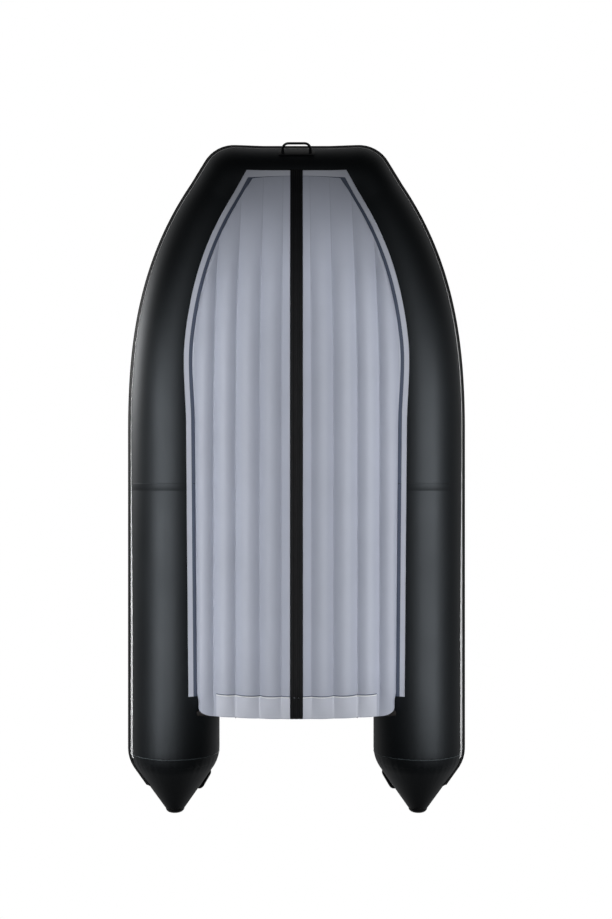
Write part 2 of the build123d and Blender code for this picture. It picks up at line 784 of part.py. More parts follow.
with BuildPart() as port_rail:
    foot_z = tube_radius + tube_radius * math.sin(math.radians(rail_angle))
    with BuildSketch(upright(rail_end)):
        with Locations((half_gauge, tube_radius)):
            Circle(tube_radius + rail_wrap)
        with Locations((rail_x, foot_z)):
            Rectangle(rail_foot, 2 * rail_foot, mode=Mode.INTERSECT)
        with Locations((rail_x, (foot_z - rail_foot / 2 + head_top) / 2)):
            Rectangle(rail_neck, head_top - foot_z + rail_foot / 2)
        with Locations((rail_x, (head_foot + head_top) / 2)):
            Rectangle(rail_head, rail_flange)
        with Locations((half_gauge, tube_radius)):
            Circle(tube_radius + clearance, mode=Mode.SUBTRACT)
    extrude(amount=rail_end - rail_start)
save("port_rail", port_rail)
with BuildPart() as starboard_rail:
    add(mirror(port_rail.part, about=Plane.YZ, mode=Mode.PRIVATE))
save("starboard_rail", starboard_rail)


def bench(name, y):
    """A board across the boat with a runner shoe hooked on each rail."""
    with BuildPart() as board:
        with BuildSketch(Plane.XY.offset(board_level)):
            with Locations((0, y)):
                RectangleRounded(2 * (rail_x + bench_over), bench_width, bench_corner)
        extrude(amount=bench_thickness)
        fillet(board.edges().group_by(Axis.Z)[-1], bench_edge)
    save(name, board)
    with BuildPart() as shoes:
        with BuildSketch(upright(y + shoe_length / 2)):
            with Locations((rail_x, (shoe_foot + shoe_top) / 2)):
                Rectangle(shoe_width, shoe_top - shoe_foot)
            with Locations((rail_x, (head_foot + head_top) / 2)):
                Rectangle(rail_head + 2 * shoe_play, rail_flange + 2 * shoe_play, mode=Mode.SUBTRACT)
            with Locations((rail_x, shoe_foot)):
                Rectangle(rail_neck + 2 * shoe_play, 2 * shoe_wall, mode=Mode.SUBTRACT)
        extrude(amount=shoe_length)
        mirror(about=Plane.YZ)
    save(f"{name}_runners", shoes)


bench("front_bench", front_bench_y)
bench("rear_bench", rear_bench_y)

# ---------------------------------------------------------------- rowlocks

crown = 2 * tube_radius
pivot_z = crown + axle_height


def tube_shell(x, thickness, start, end):
    """Shell on a straight side tube between two stations."""
    with BuildPart() as shell:
        with BuildSketch(upright(end)):
            with Locations((x, tube_radius)):
                Circle(tube_radius + thickness)
                Circle(tube_radius + clearance, mode=Mode.SUBTRACT)
        extrude(amount=end - start)
    return shell.part


with BuildPart() as rowlock_bases:
    with BuildSketch(Plane.XY.offset(tube_radius)):
        with Locations((half_gauge, rowlock_y)):
            Circle(rowlock_patch / 2)
    extrude(amount=2 * tube_radius)
    add(tube_shell(half_gauge, patch_stand, rowlock_y - rowlock_patch, rowlock_y + rowlock_patch),
        mode=Mode.INTERSECT)
    with BuildSketch(Plane.XY.offset(crown + plate_low)):
        with Locations((half_gauge, rowlock_y)):
            RectangleRounded(plate_width, hub_length + 2 * cheek_thickness + 2 * plate_margin,
                             plate_margin - 1)
    extrude(amount=plate_thickness)
    for side in (-1, 1):
        cheek = rowlock_y + side * (hub_length / 2 + cheek_thickness / 2 + cheek_gap)
        with BuildSketch(upright(cheek + cheek_thickness / 2)):
            with Locations((half_gauge, (crown + plate_thickness + pivot_z) / 2)):
                Rectangle(cheek_width, pivot_z - crown - plate_thickness)
            with Locations((half_gauge, pivot_z)):
                Circle(cheek_width / 2)
        extrude(amount=cheek_thickness)
    with BuildSketch(upright(rowlock_y + hub_length / 2 + cheek_thickness + axle_end)):
        with Locations((half_gauge, pivot_z)):
            Circle(axle_diameter / 2)
    extrude(amount=hub_length + 2 * cheek_thickness + 2 * axle_end)
    mirror(about=Plane.YZ)
save("rowlock_bases", rowlock_bases)

for side, name in ((1, "port_rowlock"), (-1, "starboard_rowlock")):
    x = side * half_gauge
    with BuildPart() as rowlock:
        with BuildSketch(Plane.XY.offset(pivot_z)):
            with Locations((x, rowlock_y)):
                Circle(neck_diameter / 2)
        extrude(amount=hub_diameter / 2 + neck_rise)
        with BuildSketch(upright(rowlock_y + hub_length / 2)):
            with Locations((x, pivot_z)):
                Circle(hub_diameter / 2)
        extrude(amount=hub_length)
        with BuildSketch(Plane.XY.offset(pivot_z + hub_diameter / 2 + neck_rise)):
            with Locations((x, rowlock_y)):
                Circle(stud_diameter / 2)
        extrude(amount=stud_length)
        chamfer(rowlock.edges().sort_by(Axis.Z)[-1], stud_chamfer)
        with BuildSketch(upright(rowlock_y + hub_length / 2)):
            with Locations((x, pivot_z)):
                Circle(axle_diameter / 2 + axle_play)
        extrude(amount=hub_length, mode=Mode.SUBTRACT)
    save(name, rowlock)

# ---------------------------------------------------------------- valves and handles


def valve(x_side, y, angle):
    """Flange wrapped on a straight side tube, with a round cap."""
    turn_up = math.radians(angle)
    normal = Vector(-x_side * math.cos(turn_up), 0, math.sin(turn_up))
    skin = Vector(x_side * half_gauge, y, tube_radius) + normal * tube_radius
    with BuildPart() as disc:
        with BuildSketch(Plane(origin=skin, x_dir=(0, 1, 0), z_dir=normal)):
            Circle(valve_flange / 2)
        extrude(amount=valve_flange / 2, both=True)
        add(tube_shell(x_side * half_gauge, valve_foot, y - valve_flange, y + valve_flange),
            mode=Mode.INTERSECT)
        with BuildSketch(Plane(origin=skin + normal * cap_foot, x_dir=(0, 1, 0), z_dir=normal)):
            Circle(valve_cap / 2)
        extrude(amount=valve_stand - cap_foot)
        fillet(disc.faces().sort_by(lambda f: f.center().dot(normal))[-1].edges(), cap_edge)
    return disc.part


with BuildPart() as air_valves:
    for x_side, y in ((1, valve_y), (-1, valve_y), (1, chamber_seam - bow_valve)):
        add(valve(x_side, y, valve_rise))
save("air_valves", air_valves)

deck_top = bottom_top(floor_aft) + 1.5 * skin_gap + mat_thickness
with BuildPart() as mat_valve:
    with BuildSketch(Plane.XY.offset(deck_top + clearance)):
        with Locations((mat_valve_x, floor_aft - mat_valve_ahead)):
            Circle(valve_flange / 2)
    extrude(amount=patch_stand)
    with BuildSketch(Plane.XY.offset(deck_top + clearance)):
        with Locations((mat_valve_x, floor_aft - mat_valve_ahead)):
            Circle(valve_cap / 2)
    extrude(amount=valve_stand)
save("mat_valve", mat_valve)


def grip(seat, span, stand):
    """Bar on two feet over a seat plane whose X runs along the bar."""
    with BuildPart() as bar:
        with BuildLine(seat) as path:
            FilletPolyline((-span / 2, 0, grip_plate / 2), (-span / 2, 0, stand), (span / 2, 0, stand),
                           (span / 2, 0, grip_plate / 2), radius=stand * grip_round)
        with BuildSketch(Plane(origin=path.line @ 0, x_dir=seat.x_dir, z_dir=path.line % 0)):
            Circle(grip_diameter / 2)
        sweep(path=path.line)
        with BuildSketch(seat.offset(clearance)):
            RectangleRounded(span + grip_pad, grip_pad, pad_round)
        extrude(amount=grip_plate)
    return bar.part


tilt = (tape_width / 2 + bow_grip_gap + grip_pad / 2) / bow_radius
bow_seat = Plane(
    origin=(0, bow_axis - bow_radius * math.cos(tilt),
            bow_rise + bow_radius - bow_radius * math.sin(tilt)),
    x_dir=(1, 0, 0), z_dir=(0, -math.cos(tilt), -math.sin(tilt)))
with BuildPart() as bow_handle:
    add(grip(bow_seat, bow_grip_span, bow_grip_stand))
save("bow_handle", bow_handle)

with BuildPart() as side_handles:
    tilt = math.radians(side_grip_angle)
    normal = Vector(math.cos(tilt), 0, math.sin(tilt))
    side_seat = Plane(origin=Vector(half_gauge, side_grip_y, tube_radius) + normal * tube_radius,
                      x_dir=(0, 1, 0), z_dir=normal)
    add(grip(side_seat, side_grip_span, side_grip_stand))
    mirror(about=Plane.YZ)
save("side_handles", side_handles)

with BuildPart() as cone_handles:
    radius = bend_radius - (cone_grip_y - bend_end) * math.tan(turn)
    tilt = math.radians(cone_grip_angle)
    off, along = Vector(-math.cos(tilt), 0, math.sin(tilt)), Vector(0, 1, 0)
    cone_seat = Plane(origin=Vector(half_gauge, cone_grip_y, tube_radius) + off * radius,
                      x_dir=along * math.cos(turn) - off * math.sin(turn),
                      z_dir=off * math.cos(turn) + along * math.sin(turn))
    add(grip(cone_seat, cone_grip_span, cone_grip_stand))
    mirror(about=Plane.YZ)
save("cone_handles", cone_handles)
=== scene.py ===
"""Looks of an inflatable boat of the 3.8 m class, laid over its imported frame.

Metres, +Z up, bow towards -Y, port side towards +X, as in the frame.
"""

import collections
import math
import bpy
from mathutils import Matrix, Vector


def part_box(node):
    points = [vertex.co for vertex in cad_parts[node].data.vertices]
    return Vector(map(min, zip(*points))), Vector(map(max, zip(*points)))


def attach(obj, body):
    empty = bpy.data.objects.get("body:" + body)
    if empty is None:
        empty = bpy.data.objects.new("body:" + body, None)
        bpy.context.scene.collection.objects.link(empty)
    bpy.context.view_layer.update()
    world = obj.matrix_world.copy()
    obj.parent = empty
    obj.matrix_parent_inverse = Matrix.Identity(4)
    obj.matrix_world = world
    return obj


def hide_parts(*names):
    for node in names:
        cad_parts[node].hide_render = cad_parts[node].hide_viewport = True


bl_info = {
    "name": "Inflatable boat",
    "version": (1, 0, 0),
    "blender": (4, 5, 0),
    "location": "View3D > Sidebar > Boat",
    "description": "Lays welded skins, moulded fittings and boards "
                   "over the frame of an inflatable boat",
    "category": "Add Mesh",
}

import bpy
import numpy as np
from bpy.props import FloatProperty, FloatVectorProperty
from mathutils import Matrix, Vector

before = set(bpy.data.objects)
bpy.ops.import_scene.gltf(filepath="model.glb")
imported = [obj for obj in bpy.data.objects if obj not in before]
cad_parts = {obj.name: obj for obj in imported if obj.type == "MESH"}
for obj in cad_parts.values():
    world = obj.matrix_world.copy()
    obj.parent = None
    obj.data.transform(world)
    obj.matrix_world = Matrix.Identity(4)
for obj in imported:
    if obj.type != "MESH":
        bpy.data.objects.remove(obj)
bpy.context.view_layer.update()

tube_low, tube_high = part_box("port_chamber")
cone_low, cone_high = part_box("port_cone")
cap_low, cap_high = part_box("cone_caps")
mat_low, mat_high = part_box("air_mat")
strake_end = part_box("rub_strake")[1].y
tape_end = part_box("strake_tape")[1].y
board_low, board_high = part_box("transom")


# ---------------------------------------------------------------- sizes and colours


def linear(hex_colour):
    """An sRGB hex colour as linear RGBA."""
    values = [int(hex_colour[i:i + 2], 16) / 255 for i in (0, 2, 4)]
    return [v / 12.92 if v <= 0.04045 else ((v + 0.055) / 1.055) ** 2.4 for v in values] + [1.0]


def length(name, default, description):
    return FloatProperty(name=name, default=default, unit="LENGTH", precision=4,
                         description=description)


def colour(name, hex_colour, description):
    return FloatVectorProperty(name=name, default=linear(hex_colour), size=4, subtype="COLOR",
                               min=0, max=1, description=description)


class HullSizes(bpy.types.PropertyGroup):
    """Sizes of the tubes and of what lies along them."""

    tube_radius: length("Side tube radius", (tube_high.z - tube_low.z) / 2, "Aft of the bow")
    half_gauge: length("Half gauge", (tube_low.x + tube_high.x) / 2,
                       "Middle plane to the axis of a side tube")
    bow_radius: length("Bow tube radius", 0.186, "Cross tube at the bow")
    bow_axis: length("Bow tube place", -1.700, "Y of the cross tube's axis")
    bow_run: length("Bow run", 1.400, "Over which the side tubes rise, taper and close in")
    bow_rise: length("Bow rise", 0.262, "Height of the lowest line of the cross tube")
    bow_inset: length("Bow inset", 0.311, "How far the tube axis has closed in after the run")
    corner_share: FloatProperty(name="Corner share", default=0.93,
                                description="Share of the run where the corner begins")
    corner_fold: length("Corner fold", 0.080, "Radius of the fold inside the corner")
    cone_start: length("Cone start", 1.530, "Where the side tube starts to draw in")
    cone_bend: length("Cone bend", 0.200, "Radius of that bend along the tube")
    cone_angle: FloatProperty(name="Cone angle", default=math.radians(35), subtype="ANGLE",
                              description="Half angle of the cone")
    strake_width: length("Strake width", 0.148, "Ribbed strake, measured upright")
    strake_stand: length("Strake stand", 0.014, "How far its ribs stand off the tube")
    tape_width: length("Tape width", 0.206, "Light tape beneath the strake")


class BottomSizes(bpy.types.PropertyGroup):
    """Sizes of the bottom and the strips on it."""

    channel_depth: length("Channel depth", 0.029, "How far a channel bulges below its seams")
    bottom_half: length("Bottom half width", 0.565, "Outermost seam")
    front: length("Front edge", -1.688, "Y of the bottom's front edge, at the middle")
    front_bow: length("Front bow", 0.011, "How far the front edge's corners drop back")
    hem: length("Hem", 1.190, "Y where the channels begin to run out")
    end: length("Rear edge", 1.336, "Y of the rear edge, at the middle")
    flange_width: length("Flange width", 0.027, "Welded strip between bottom and tubes")
    flange_mid: length("Flange place", 0.082, "Inboard of the tube's axis where the bow begins")
    flange_aft: length("Flange place aft", 0.094, "The same at the stern")
    flange_bow: length("Flange place ahead", 0.057, "The same in the bow")
    flange_end: length("Flange end", 1.212, "Y of the strip's aft end")
    edge_gap: length("Edge gap", 0.019, "Between the flange and the bottom's edge")
    keel_width: length("Keel strip width", 0.070, "Ribbed strip under the middle channel")


class FittingSizes(bpy.types.PropertyGroup):
    """Boards, valves and handles"""

    board: length("Transom board", 0.027, "Thickness of the transom's plywood")
    rake: FloatProperty(name="Transom rake", default=math.radians(5), subtype="ANGLE",
                        description="Lean of the transom's top towards the stern")
    valve_flange: length("Valve flange", 0.066, "Across the welded flange of a valve")
    valve_cap: length("Valve cap", 0.042, "Across the screw cap of a valve")
    valve_stand: length("Valve stand", 0.009, "Height of a valve over the skin")
    valve_angle: FloatProperty(name="Valve angle", default=math.radians(25), subtype="ANGLE",
                               description="Round the tube from its inner side")
    grip_pad: length("Handle pad", 0.046, "Width of a handle's pad")
    bow_span: length("Bow handle span", 0.157, "Between the feet of the bow handle")
    bow_stand: length("Bow handle stand", 0.062, "Height of the bow handle's bar over its pad")
    bow_angle: FloatProperty(name="Bow handle angle", default=0.78495, subtype="ANGLE",
                             description="Below level, round the bow tube")
    side_span: length("Side handle span", 0.19, "Between the feet of a side handle")
    side_stand: length("Side handle stand", 0.038, "Height of a side handle's bar")
    side_angle: FloatProperty(name="Side handle angle", default=math.radians(42), subtype="ANGLE",
                              description="Above level, on the outer side of the tube")
    side_y: length("Side handle place", 0.76, "Middle of a side handle along the boat")
    cone_span: length("Cone handle span", 0.11, "Between the feet of a cone handle")
    cone_stand: length("Cone handle stand", 0.038, "Height of a cone handle's bar")
    cone_angle: FloatProperty(name="Cone handle angle", default=math.radians(30), subtype="ANGLE",
                              description="Above level, on the inner side of the cone")
    cone_y: length("Cone handle place", 1.718, "Middle of a cone handle along the boat")


class BoatColours(bpy.types.PropertyGroup):
    """Colours of the finishes."""

    tube: colour("Tube", "06080A", "Coated fabric of the tubes")
    bottom: colour("Bottom", "A9AEBC", "Coated fabric of the bottom")
    strip: colour("Strip", "C0C4D0", "Welded strips on the bottom")
    # Painted shade: the cloth in the fold is coloured slate for the shadow that lies in the fold.
    sheet: colour("Sheet", "4C5465", "Cloth in the fold beside the bottom")
    tape: colour("Tape", "EEEFF0", "Light tape beneath the strake")
    rubber: colour("Rubber", "0C0D0F", "Extruded rubber")
    moulded: colour("Moulded", "1C1D1F", "Moulded fittings")
    deck: colour("Deck", "8E949C", "Deck of the air mat")
    film: colour("Film", "2B2522", "Film on the plywood")


def hull():
    return bpy.context.scene.boat_hull


def floor():
    return bpy.context.scene.boat_bottom


def fittings():
    return bpy.context.scene.boat_fittings


def colours():
    return bpy.context.scene.boat_colours


# ---------------------------------------------------------------- the line of the tubes

Place = collections.namedtuple("Place", "centre out half_width half_height front")


def tube_size(share):
    s = hull()
    return s.tube_radius - (s.tube_radius - s.bow_radius) * share ** 1.6


def outward(share):
    """Horizontal direction from the tube's axis to its outer side."""
    s = hull()
    ahead = Vector((-s.bow_inset * 2.8 * share ** 1.8, -s.bow_run, 0)).normalized()
    return Vector((-ahead.y, ahead.x, 0))


def corner_turn():
    out = outward(hull().corner_share)
    return math.atan2(out.x, -out.y)


def bow_start():
    """Y where the side tubes begin to rise and close in."""
    s = hull()
    reach = tube_size(s.corner_share) + s.corner_fold
    return (s.bow_axis + s.bow_run * s.corner_share + s.bow_radius + s.corner_fold
            + outward(s.corner_share).y * reach)


def rise(y):
    """Height of the hull's lowest line over the ground at Y."""
    s = hull()
    share = max(0.0, (bow_start() - y) / (bow_start() - s.bow_axis))
    return s.bow_rise * min(1.0, share) ** 2


def side_place(y):
    """Section of the port tube at Y, up to the corner."""
    s = hull()
    share = max(0.0, (bow_start() - y) / s.bow_run)
    radius = tube_size(share)
    centre = Vector((s.half_gauge - s.bow_inset * share ** 2.8, y, rise(y) + radius))
    return Place(centre, outward(share), radius, radius, 0.0)


def corner_width(angle, radius):
    """Width of the mitred, rounded corner at an angle from the side tube's square end."""
    fold = hull().corner_fold
    swing = min(angle, corner_turn() - angle)
    bend = corner_turn() / 2
    straight = (fold + 2 * radius) / math.cos(swing)
    if straight * math.sin(swing) <= (fold + radius) * math.tan(bend):
        return straight - fold
    diagonal = (fold + radius) / math.cos(bend)
    aside = diagonal * math.sin(bend - swing)
    return diagonal * math.cos(bend - swing) + math.sqrt(radius**2 - aside**2) - fold


def corner_place(turned):
    """The same round the corner, from 1 where it begins to 0 at the cross tube."""
    s = hull()
    first = side_place(bow_start() - s.bow_run * s.corner_share)
    pivot = first.centre - first.out * (tube_size(s.corner_share) + s.corner_fold)
    radius = s.bow_radius + (first.half_width - s.bow_radius) * turned
    angle = corner_turn() * turned
    half_width = corner_width(angle, radius) / 2
    out = Vector((math.sin(angle), -math.cos(angle), 0))
    level = s.bow_rise + s.bow_radius
    centre = pivot + out * (s.corner_fold + half_width)
    centre.z = level + (first.centre.z - level) * turned ** 1.3
    return Place(centre, out, half_width, radius, 1 - turned)


def cone_radius(y):
    """Radius of the side tube, which draws in to a cone at its aft end."""
    s = hull()
    bent = s.cone_start + s.cone_bend * math.sin(s.cone_angle)
    if y <= s.cone_start:
        return s.tube_radius
    if y < bent:
        return s.tube_radius - s.cone_bend + math.sqrt(s.cone_bend**2 - (y - s.cone_start) ** 2)
    start = s.tube_radius - s.cone_bend * (1 - math.cos(s.cone_angle))
    return start - (y - bent) * math.tan(s.cone_angle)


def aft_place(y):
    s = hull()
    centre = Vector((s.half_gauge, y, s.tube_radius))
    return Place(centre, Vector((1, 0, 0)), cone_radius(y), cone_radius(y), 0.0)


def mirrored(place):
    flip = Vector((-1, 1, 1))
    return place._replace(centre=place.centre * flip, out=place.out * flip)


def spaced(start, end, step):
    """Evenly spaced values from start to end, about a step apart."""
    return np.linspace(start, end, max(2, round(abs(end - start) / step) + 1)).tolist()


def route(aft, step=0.025):
    """Sections from the port tube at Y aft, round the bow, to the starboard tube."""
    s = hull()
    start = bow_start()
    places = [aft_place(y) for y in spaced(aft, start, step)]
    places += [side_place(y) for y in spaced(start, start - s.bow_run * s.corner_share, step)[1:]]
    places += [corner_place(turned) for turned in spaced(1, 0, step / 0.5)[1:]]
    end = places[-1]
    for x in spaced(end.centre.x, 0, step)[1:]:
        places.append(end._replace(centre=Vector((x, end.centre.y, end.centre.z))))
    return places + [mirrored(place) for place in reversed(places[:-1])]


def surface(place, height, stand):
    """Outward distance of the tube's skin at a height over its axis, grown by stand."""
    return (place.half_width + stand) * math.sqrt(1 - (height / (place.half_height + stand)) ** 2)


def under(place, inboard, stand):
    """Point of the tube's underside in its section, at a distance inboard of its axis."""
    drop = math.sqrt(1 - (inboard / (place.half_width + stand)) ** 2)
    return -inboard, -(place.half_height + stand) * drop


def at(place, across, up):
    """Point of a section, outward and up from the tube's axis."""
    return place.centre + place.out * across + Vector((0, 0, up))


# ---------------------------------------------------------------- making meshes


def skin(name, rings, smooth=40):
    """Closed skin through rings of points: a grid wrapped round them, merged and capped."""
    around, along = len(rings[0]), len(rings) - 1
    bpy.ops.object.select_all(action="DESELECT")
    bpy.ops.mesh.primitive_grid_add(x_subdivisions=around, y_subdivisions=along, size=1)
    piece = bpy.context.object
    piece.name = piece.data.name = name
    for vertex in piece.data.vertices:
        column = round((vertex.co.x + 0.5) * around) % around
        row = round((vertex.co.y + 0.5) * along)
        vertex.co = rings[row][column]
    bpy.ops.object.mode_set(mode="EDIT")
    bpy.ops.mesh.select_all(action="SELECT")
    bpy.ops.mesh.remove_doubles(threshold=1e-5)
    bpy.ops.mesh.fill_holes(sides=0)
    bpy.ops.mesh.normals_make_consistent(inside=False)
    bpy.ops.object.mode_set(mode="OBJECT")
    bpy.ops.object.shade_smooth_by_angle(angle=math.radians(smooth))
    return piece


def joined(name, pieces):
    """Several pieces as one."""
    bpy.ops.object.select_all(action="DESELECT")
    for piece in pieces:
        piece.select_set(True)
    bpy.context.view_layer.objects.active = pieces[0]
    if len(pieces) > 1:
        bpy.ops.object.join()
    pieces[0].name = pieces[0].data.name = name
    return pieces[0]


def turned(name, seat, profile, steps=48, smooth=40, notches=0, depth=0.0):
    """Turned form on a seat: radius and height pairs along the seat's Z, its rim notched."""
    rings = []
    for radius, height in profile:
        ring = []
        for angle in (math.tau * i / steps for i in range(steps)):
            cut = radius - depth * max(0.0, math.cos(notches * angle)) if notches else radius
            ring.append((cut * math.cos(angle), cut * math.sin(angle)))
        rings.append([seat @ Vector((x, y, height)) for x, y in ring])
    return skin(name, rings, smooth)


def bar(name, path, radii, steps=20, flat=1.0):
    """Round or flattened bar along a path of points, its width kept square to the path."""
    points = [Vector(p) for p in path]
    tangents = [(b - a).normalized() for a, b in zip(points, points[1:])]
    tangents = [tangents[0]] + [(a + b).normalized() for a, b in zip(tangents, tangents[1:])] \
        + [tangents[-1]]
    side = tangents[0].orthogonal().normalized()
    rings = []
    for point, ahead, radius in zip(points, tangents, radii):
        side = (side - ahead * side.dot(ahead)).normalized()
        up = ahead.cross(side)
        rings.append([point + radius * (side * math.cos(math.tau * i / steps)
                                        + up * flat * math.sin(math.tau * i / steps))
                      for i in range(steps)])
    return skin(name, rings)


def rounded_box(name, seat, size, bevel, segments=3):
    """Box with bevelled edges, standing on a seat's plane at its origin."""
    bpy.ops.object.select_all(action="DESELECT")
    bpy.ops.mesh.primitive_cube_add(size=1)
    piece = bpy.context.object
    piece.name = piece.data.name = name
    lifted = seat @ Matrix.Translation((0, 0, size[2] / 2))
    piece.data.transform(lifted @ Matrix.Diagonal((*size, 1)))
    bevelled(piece, bevel, segments)
    return piece


def drawn(name, node, width, limit=35):
    """Copy of a node of the frame, its facets merged and its edges rounded."""
    bpy.ops.object.select_all(action="DESELECT")
    bpy.ops.mesh.primitive_cube_add(size=1)
    piece = bpy.context.object
    piece.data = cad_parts[node].data.copy()
    piece.name = piece.data.name = name
    if piece.data.has_custom_normals:
        bpy.ops.mesh.customdata_custom_splitnormals_clear()
    bpy.ops.object.mode_set(mode="EDIT")
    bpy.ops.mesh.select_all(action="SELECT")
    bpy.ops.mesh.remove_doubles(threshold=1e-6)
    bpy.ops.mesh.dissolve_limited(angle_limit=math.radians(1))
    bpy.ops.mesh.normals_make_consistent(inside=False)
    bpy.ops.object.mode_set(mode="OBJECT")
    bevelled(piece, width, 2, limit)
    return piece


def bevelled(piece, width, segments=3, limit=40):
    bpy.ops.object.select_all(action="DESELECT")
    piece.select_set(True)
    bpy.context.view_layer.objects.active = piece
    edge = piece.modifiers.new("edge", "BEVEL")
    edge.width = width
    edge.segments = segments
    edge.limit_method = "ANGLE"
    edge.angle_limit = math.radians(limit)
    bpy.ops.object.modifier_apply(modifier=edge.name)
    bpy.ops.object.shade_smooth_by_angle(angle=math.radians(35))


def seat_from(origin, ahead, out):
    """Seat at a point: X ahead, Z out of the surface."""
    seat = Matrix((ahead, out.cross(ahead), out)).transposed().to_4x4()
    seat.translation = origin
    return seat


def seat_on_tube(x_side, y, angle):
    """Seat on a straight side tube: X along the boat, Z off the skin, angle up from inboard."""
    s = hull()
    off = Vector((-x_side * math.cos(angle), 0, math.sin(angle)))
    place = Vector((x_side * s.half_gauge, y, s.tube_radius)) + off * s.tube_radius
    return seat_from(place, Vector((0, 1, 0)), off)


def patch(name, x_side, y, angle, span, height, thickness, power=6.0, rows=24):
    """Glued patch wrapped on a side tube: a rounded rectangle, span along the tube."""
    s = hull()
    rings = []
    for t in spaced(-1, 1, 2 / rows):
        reach = max(0.0, 1 - abs(t) ** power) ** (1 / power) * height / 2 / s.tube_radius
        arc = [angle + reach * u for u in spaced(-1, 1, 2 / 16)]
        ring = []
        for radius, angles in ((s.tube_radius + thickness, arc), (s.tube_radius, arc[::-1])):
            for a in angles:
                ring.append(Vector((x_side * (s.half_gauge - radius * math.cos(a)),
                                    y + t * span / 2, s.tube_radius + radius * math.sin(a))))
        rings.append(ring)
    return skin(name, rings, 50)


def fit(piece, material, slot, *nodes, body="hull"):
    """Give a piece its finish, its body and the frame's nodes that it stands for."""
    piece.data.materials.clear()
    piece.data.materials.append(material)
    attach(piece, body)
    if nodes:
        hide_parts(*nodes)
    return piece


# ---------------------------------------------------------------- finishes


def plug(tree, node, inputs):
    """Set or link each named socket of a node."""
    for key, value in inputs.items():
        if isinstance(value, bpy.types.NodeSocket):
            tree.links.new(value, node.inputs[key])
        else:
            node.inputs[key].default_value = value


def add(tree, kind, inputs=None, ramp=(), **settings):
    """Add a shader node with its options, the stops of its ramp and its sockets."""
    new = tree.nodes.new("ShaderNode" + kind)
    for key, value in settings.items():
        setattr(new, key, value)
    if ramp:
        for element, (place, tone) in zip(new.color_ramp.elements, ramp):
            element.position, element.color = place, tone
    plug(tree, new, inputs or {})
    return new


def blank(name):
    """New material with its tree, its shader and the object's coordinates."""
    material = bpy.data.materials.new(name)
    material.use_nodes = True
    tree = material.node_tree
    shader = tree.nodes["Principled BSDF"]
    where = add(tree, "TexCoord").outputs["Object"]
    return material, tree, shader, where


def made(name):
    return bpy.data.materials.get(name)


def shade(base, factor):
    return [c * factor for c in base[:3]] + [1.0]


def ridges(apart):
    """Scale at which a wave texture's ridges lie a real distance apart."""
    return math.tau / 20 / apart


def woven_coat(name, base, roughness, specular, mottle, weave, crease):
    """Fabric coated on both sides, calendered: the weave shows faintly through the coat,
    which reads as a fine grid in the gloss, with broad soft creases where it was folded."""
    if made(name):
        return made(name)
    material, tree, shader, where = blank(name)
    cloud = add(tree, "TexNoise", {"Vector": where, "Scale": 3.0, "Detail": 4.0}).outputs["Fac"]
    tint = add(tree, "ValToRGB", {"Fac": cloud},
               ((0.3, shade(base, 1 - mottle)), (0.7, shade(base, 1 + mottle))))
    rough = add(tree, "MapRange", {"Value": cloud, "To Min": roughness - 0.05,
                                   "To Max": roughness + 0.05})
    # Threads lie 1 mm apart; drawn 4 mm apart so that they show.
    warp, weft = [add(tree, "TexWave", {"Vector": where, "Scale": ridges(0.004),
                                        "Distortion": 0.3}, bands_direction=axis).outputs["Fac"]
                  for axis in ("X", "Y")]
    grid = add(tree, "Math", {0: warp, 1: weft}, operation="MULTIPLY")
    fine = add(tree, "Bump", {"Height": grid.outputs["Value"], "Strength": weave,
                              "Distance": 0.0002})
    fold = add(tree, "TexNoise", {"Vector": where, "Scale": 7.0, "Detail": 5.0,
                                  "Roughness": 0.62, "Distortion": 0.8})
    soft = add(tree, "Bump", {"Height": fold.outputs["Fac"], "Strength": crease,
                              "Distance": 0.01, "Normal": fine.outputs["Normal"]})
    plug(tree, shader, {"Base Color": tint.outputs["Color"], "Roughness": rough.outputs["Result"],
                        "Specular IOR Level": specular, "Normal": soft.outputs["Normal"]})
    return material


def tube_coat():
    """Black coated fabric of the tubes, semi-matt, with a cool cast in its sheen."""
    material = woven_coat("coated_polyester_black", colours().tube, 0.52, 0.5, 0.10, 0.25, 0.08)
    shader = material.node_tree.nodes["Principled BSDF"]
    shader.inputs["Specular Tint"].default_value = (0.84, 0.92, 1.0, 1.0)
    return material


def weld_highlight_coat():
    """Raised bead along the cone's weld, its grey paler than the tube as a painted highlight: the
    thin light line along the weld's edge.
    """
    return woven_coat("weld_highlight_grey", linear("3E464A"), 0.5, 0.5, 0.08, 0.05, 0.04)


def bottom_coat():
    """The same cloth in light grey, a heavier weight on the bottom, with painted shade darkening
    the welded seams.
    """
    if made("coated_polyester_grey"):
        return made("coated_polyester_grey")
    material = woven_coat("coated_polyester_grey", colours().bottom, 0.55, 0.35, 0.035, 0.25, 0.12)
    tree = material.node_tree
    shader = tree.nodes["Principled BSDF"]
    cloth = shader.inputs["Base Color"].links[0].from_socket
    # Painted shade: the seam attribute mixes the cloth towards the dark slate below along the
    # welded seams.
    seam = add(tree, "Attribute", attribute_name="seam").outputs["Fac"]
    mix = add(tree, "Mix", {"Factor": seam}, data_type="RGBA")
    tree.links.new(cloth, mix.inputs[6])
    mix.inputs[7].default_value = linear("3A3E49")
    tree.links.new(mix.outputs[2], shader.inputs["Base Color"])
    return material


def strip_coat():
    """Grey welding strip: unreinforced sheet, smoother and lighter than the cloth."""
    return woven_coat("welding_strip_grey", colours().strip, 0.42, 0.45, 0.03, 0.08, 0.06)


def painted_shade_coat():
    """Painted shade: slate-grey cloth between the strip and the channels, in the fold of the
    bottom's edge, darker for the shadow in that fold; also the painted shadow line ahead of the
    hem.
    """
    return woven_coat("painted_shade_slate", colours().sheet, 0.6, 0.25, 0.05, 0.2, 0.1)


def tape_coat():
    """Light grey tape beneath the strake."""
    return woven_coat("edge_tape_light_grey", colours().tape, 0.48, 0.4, 0.02, 0.1, 0.04)


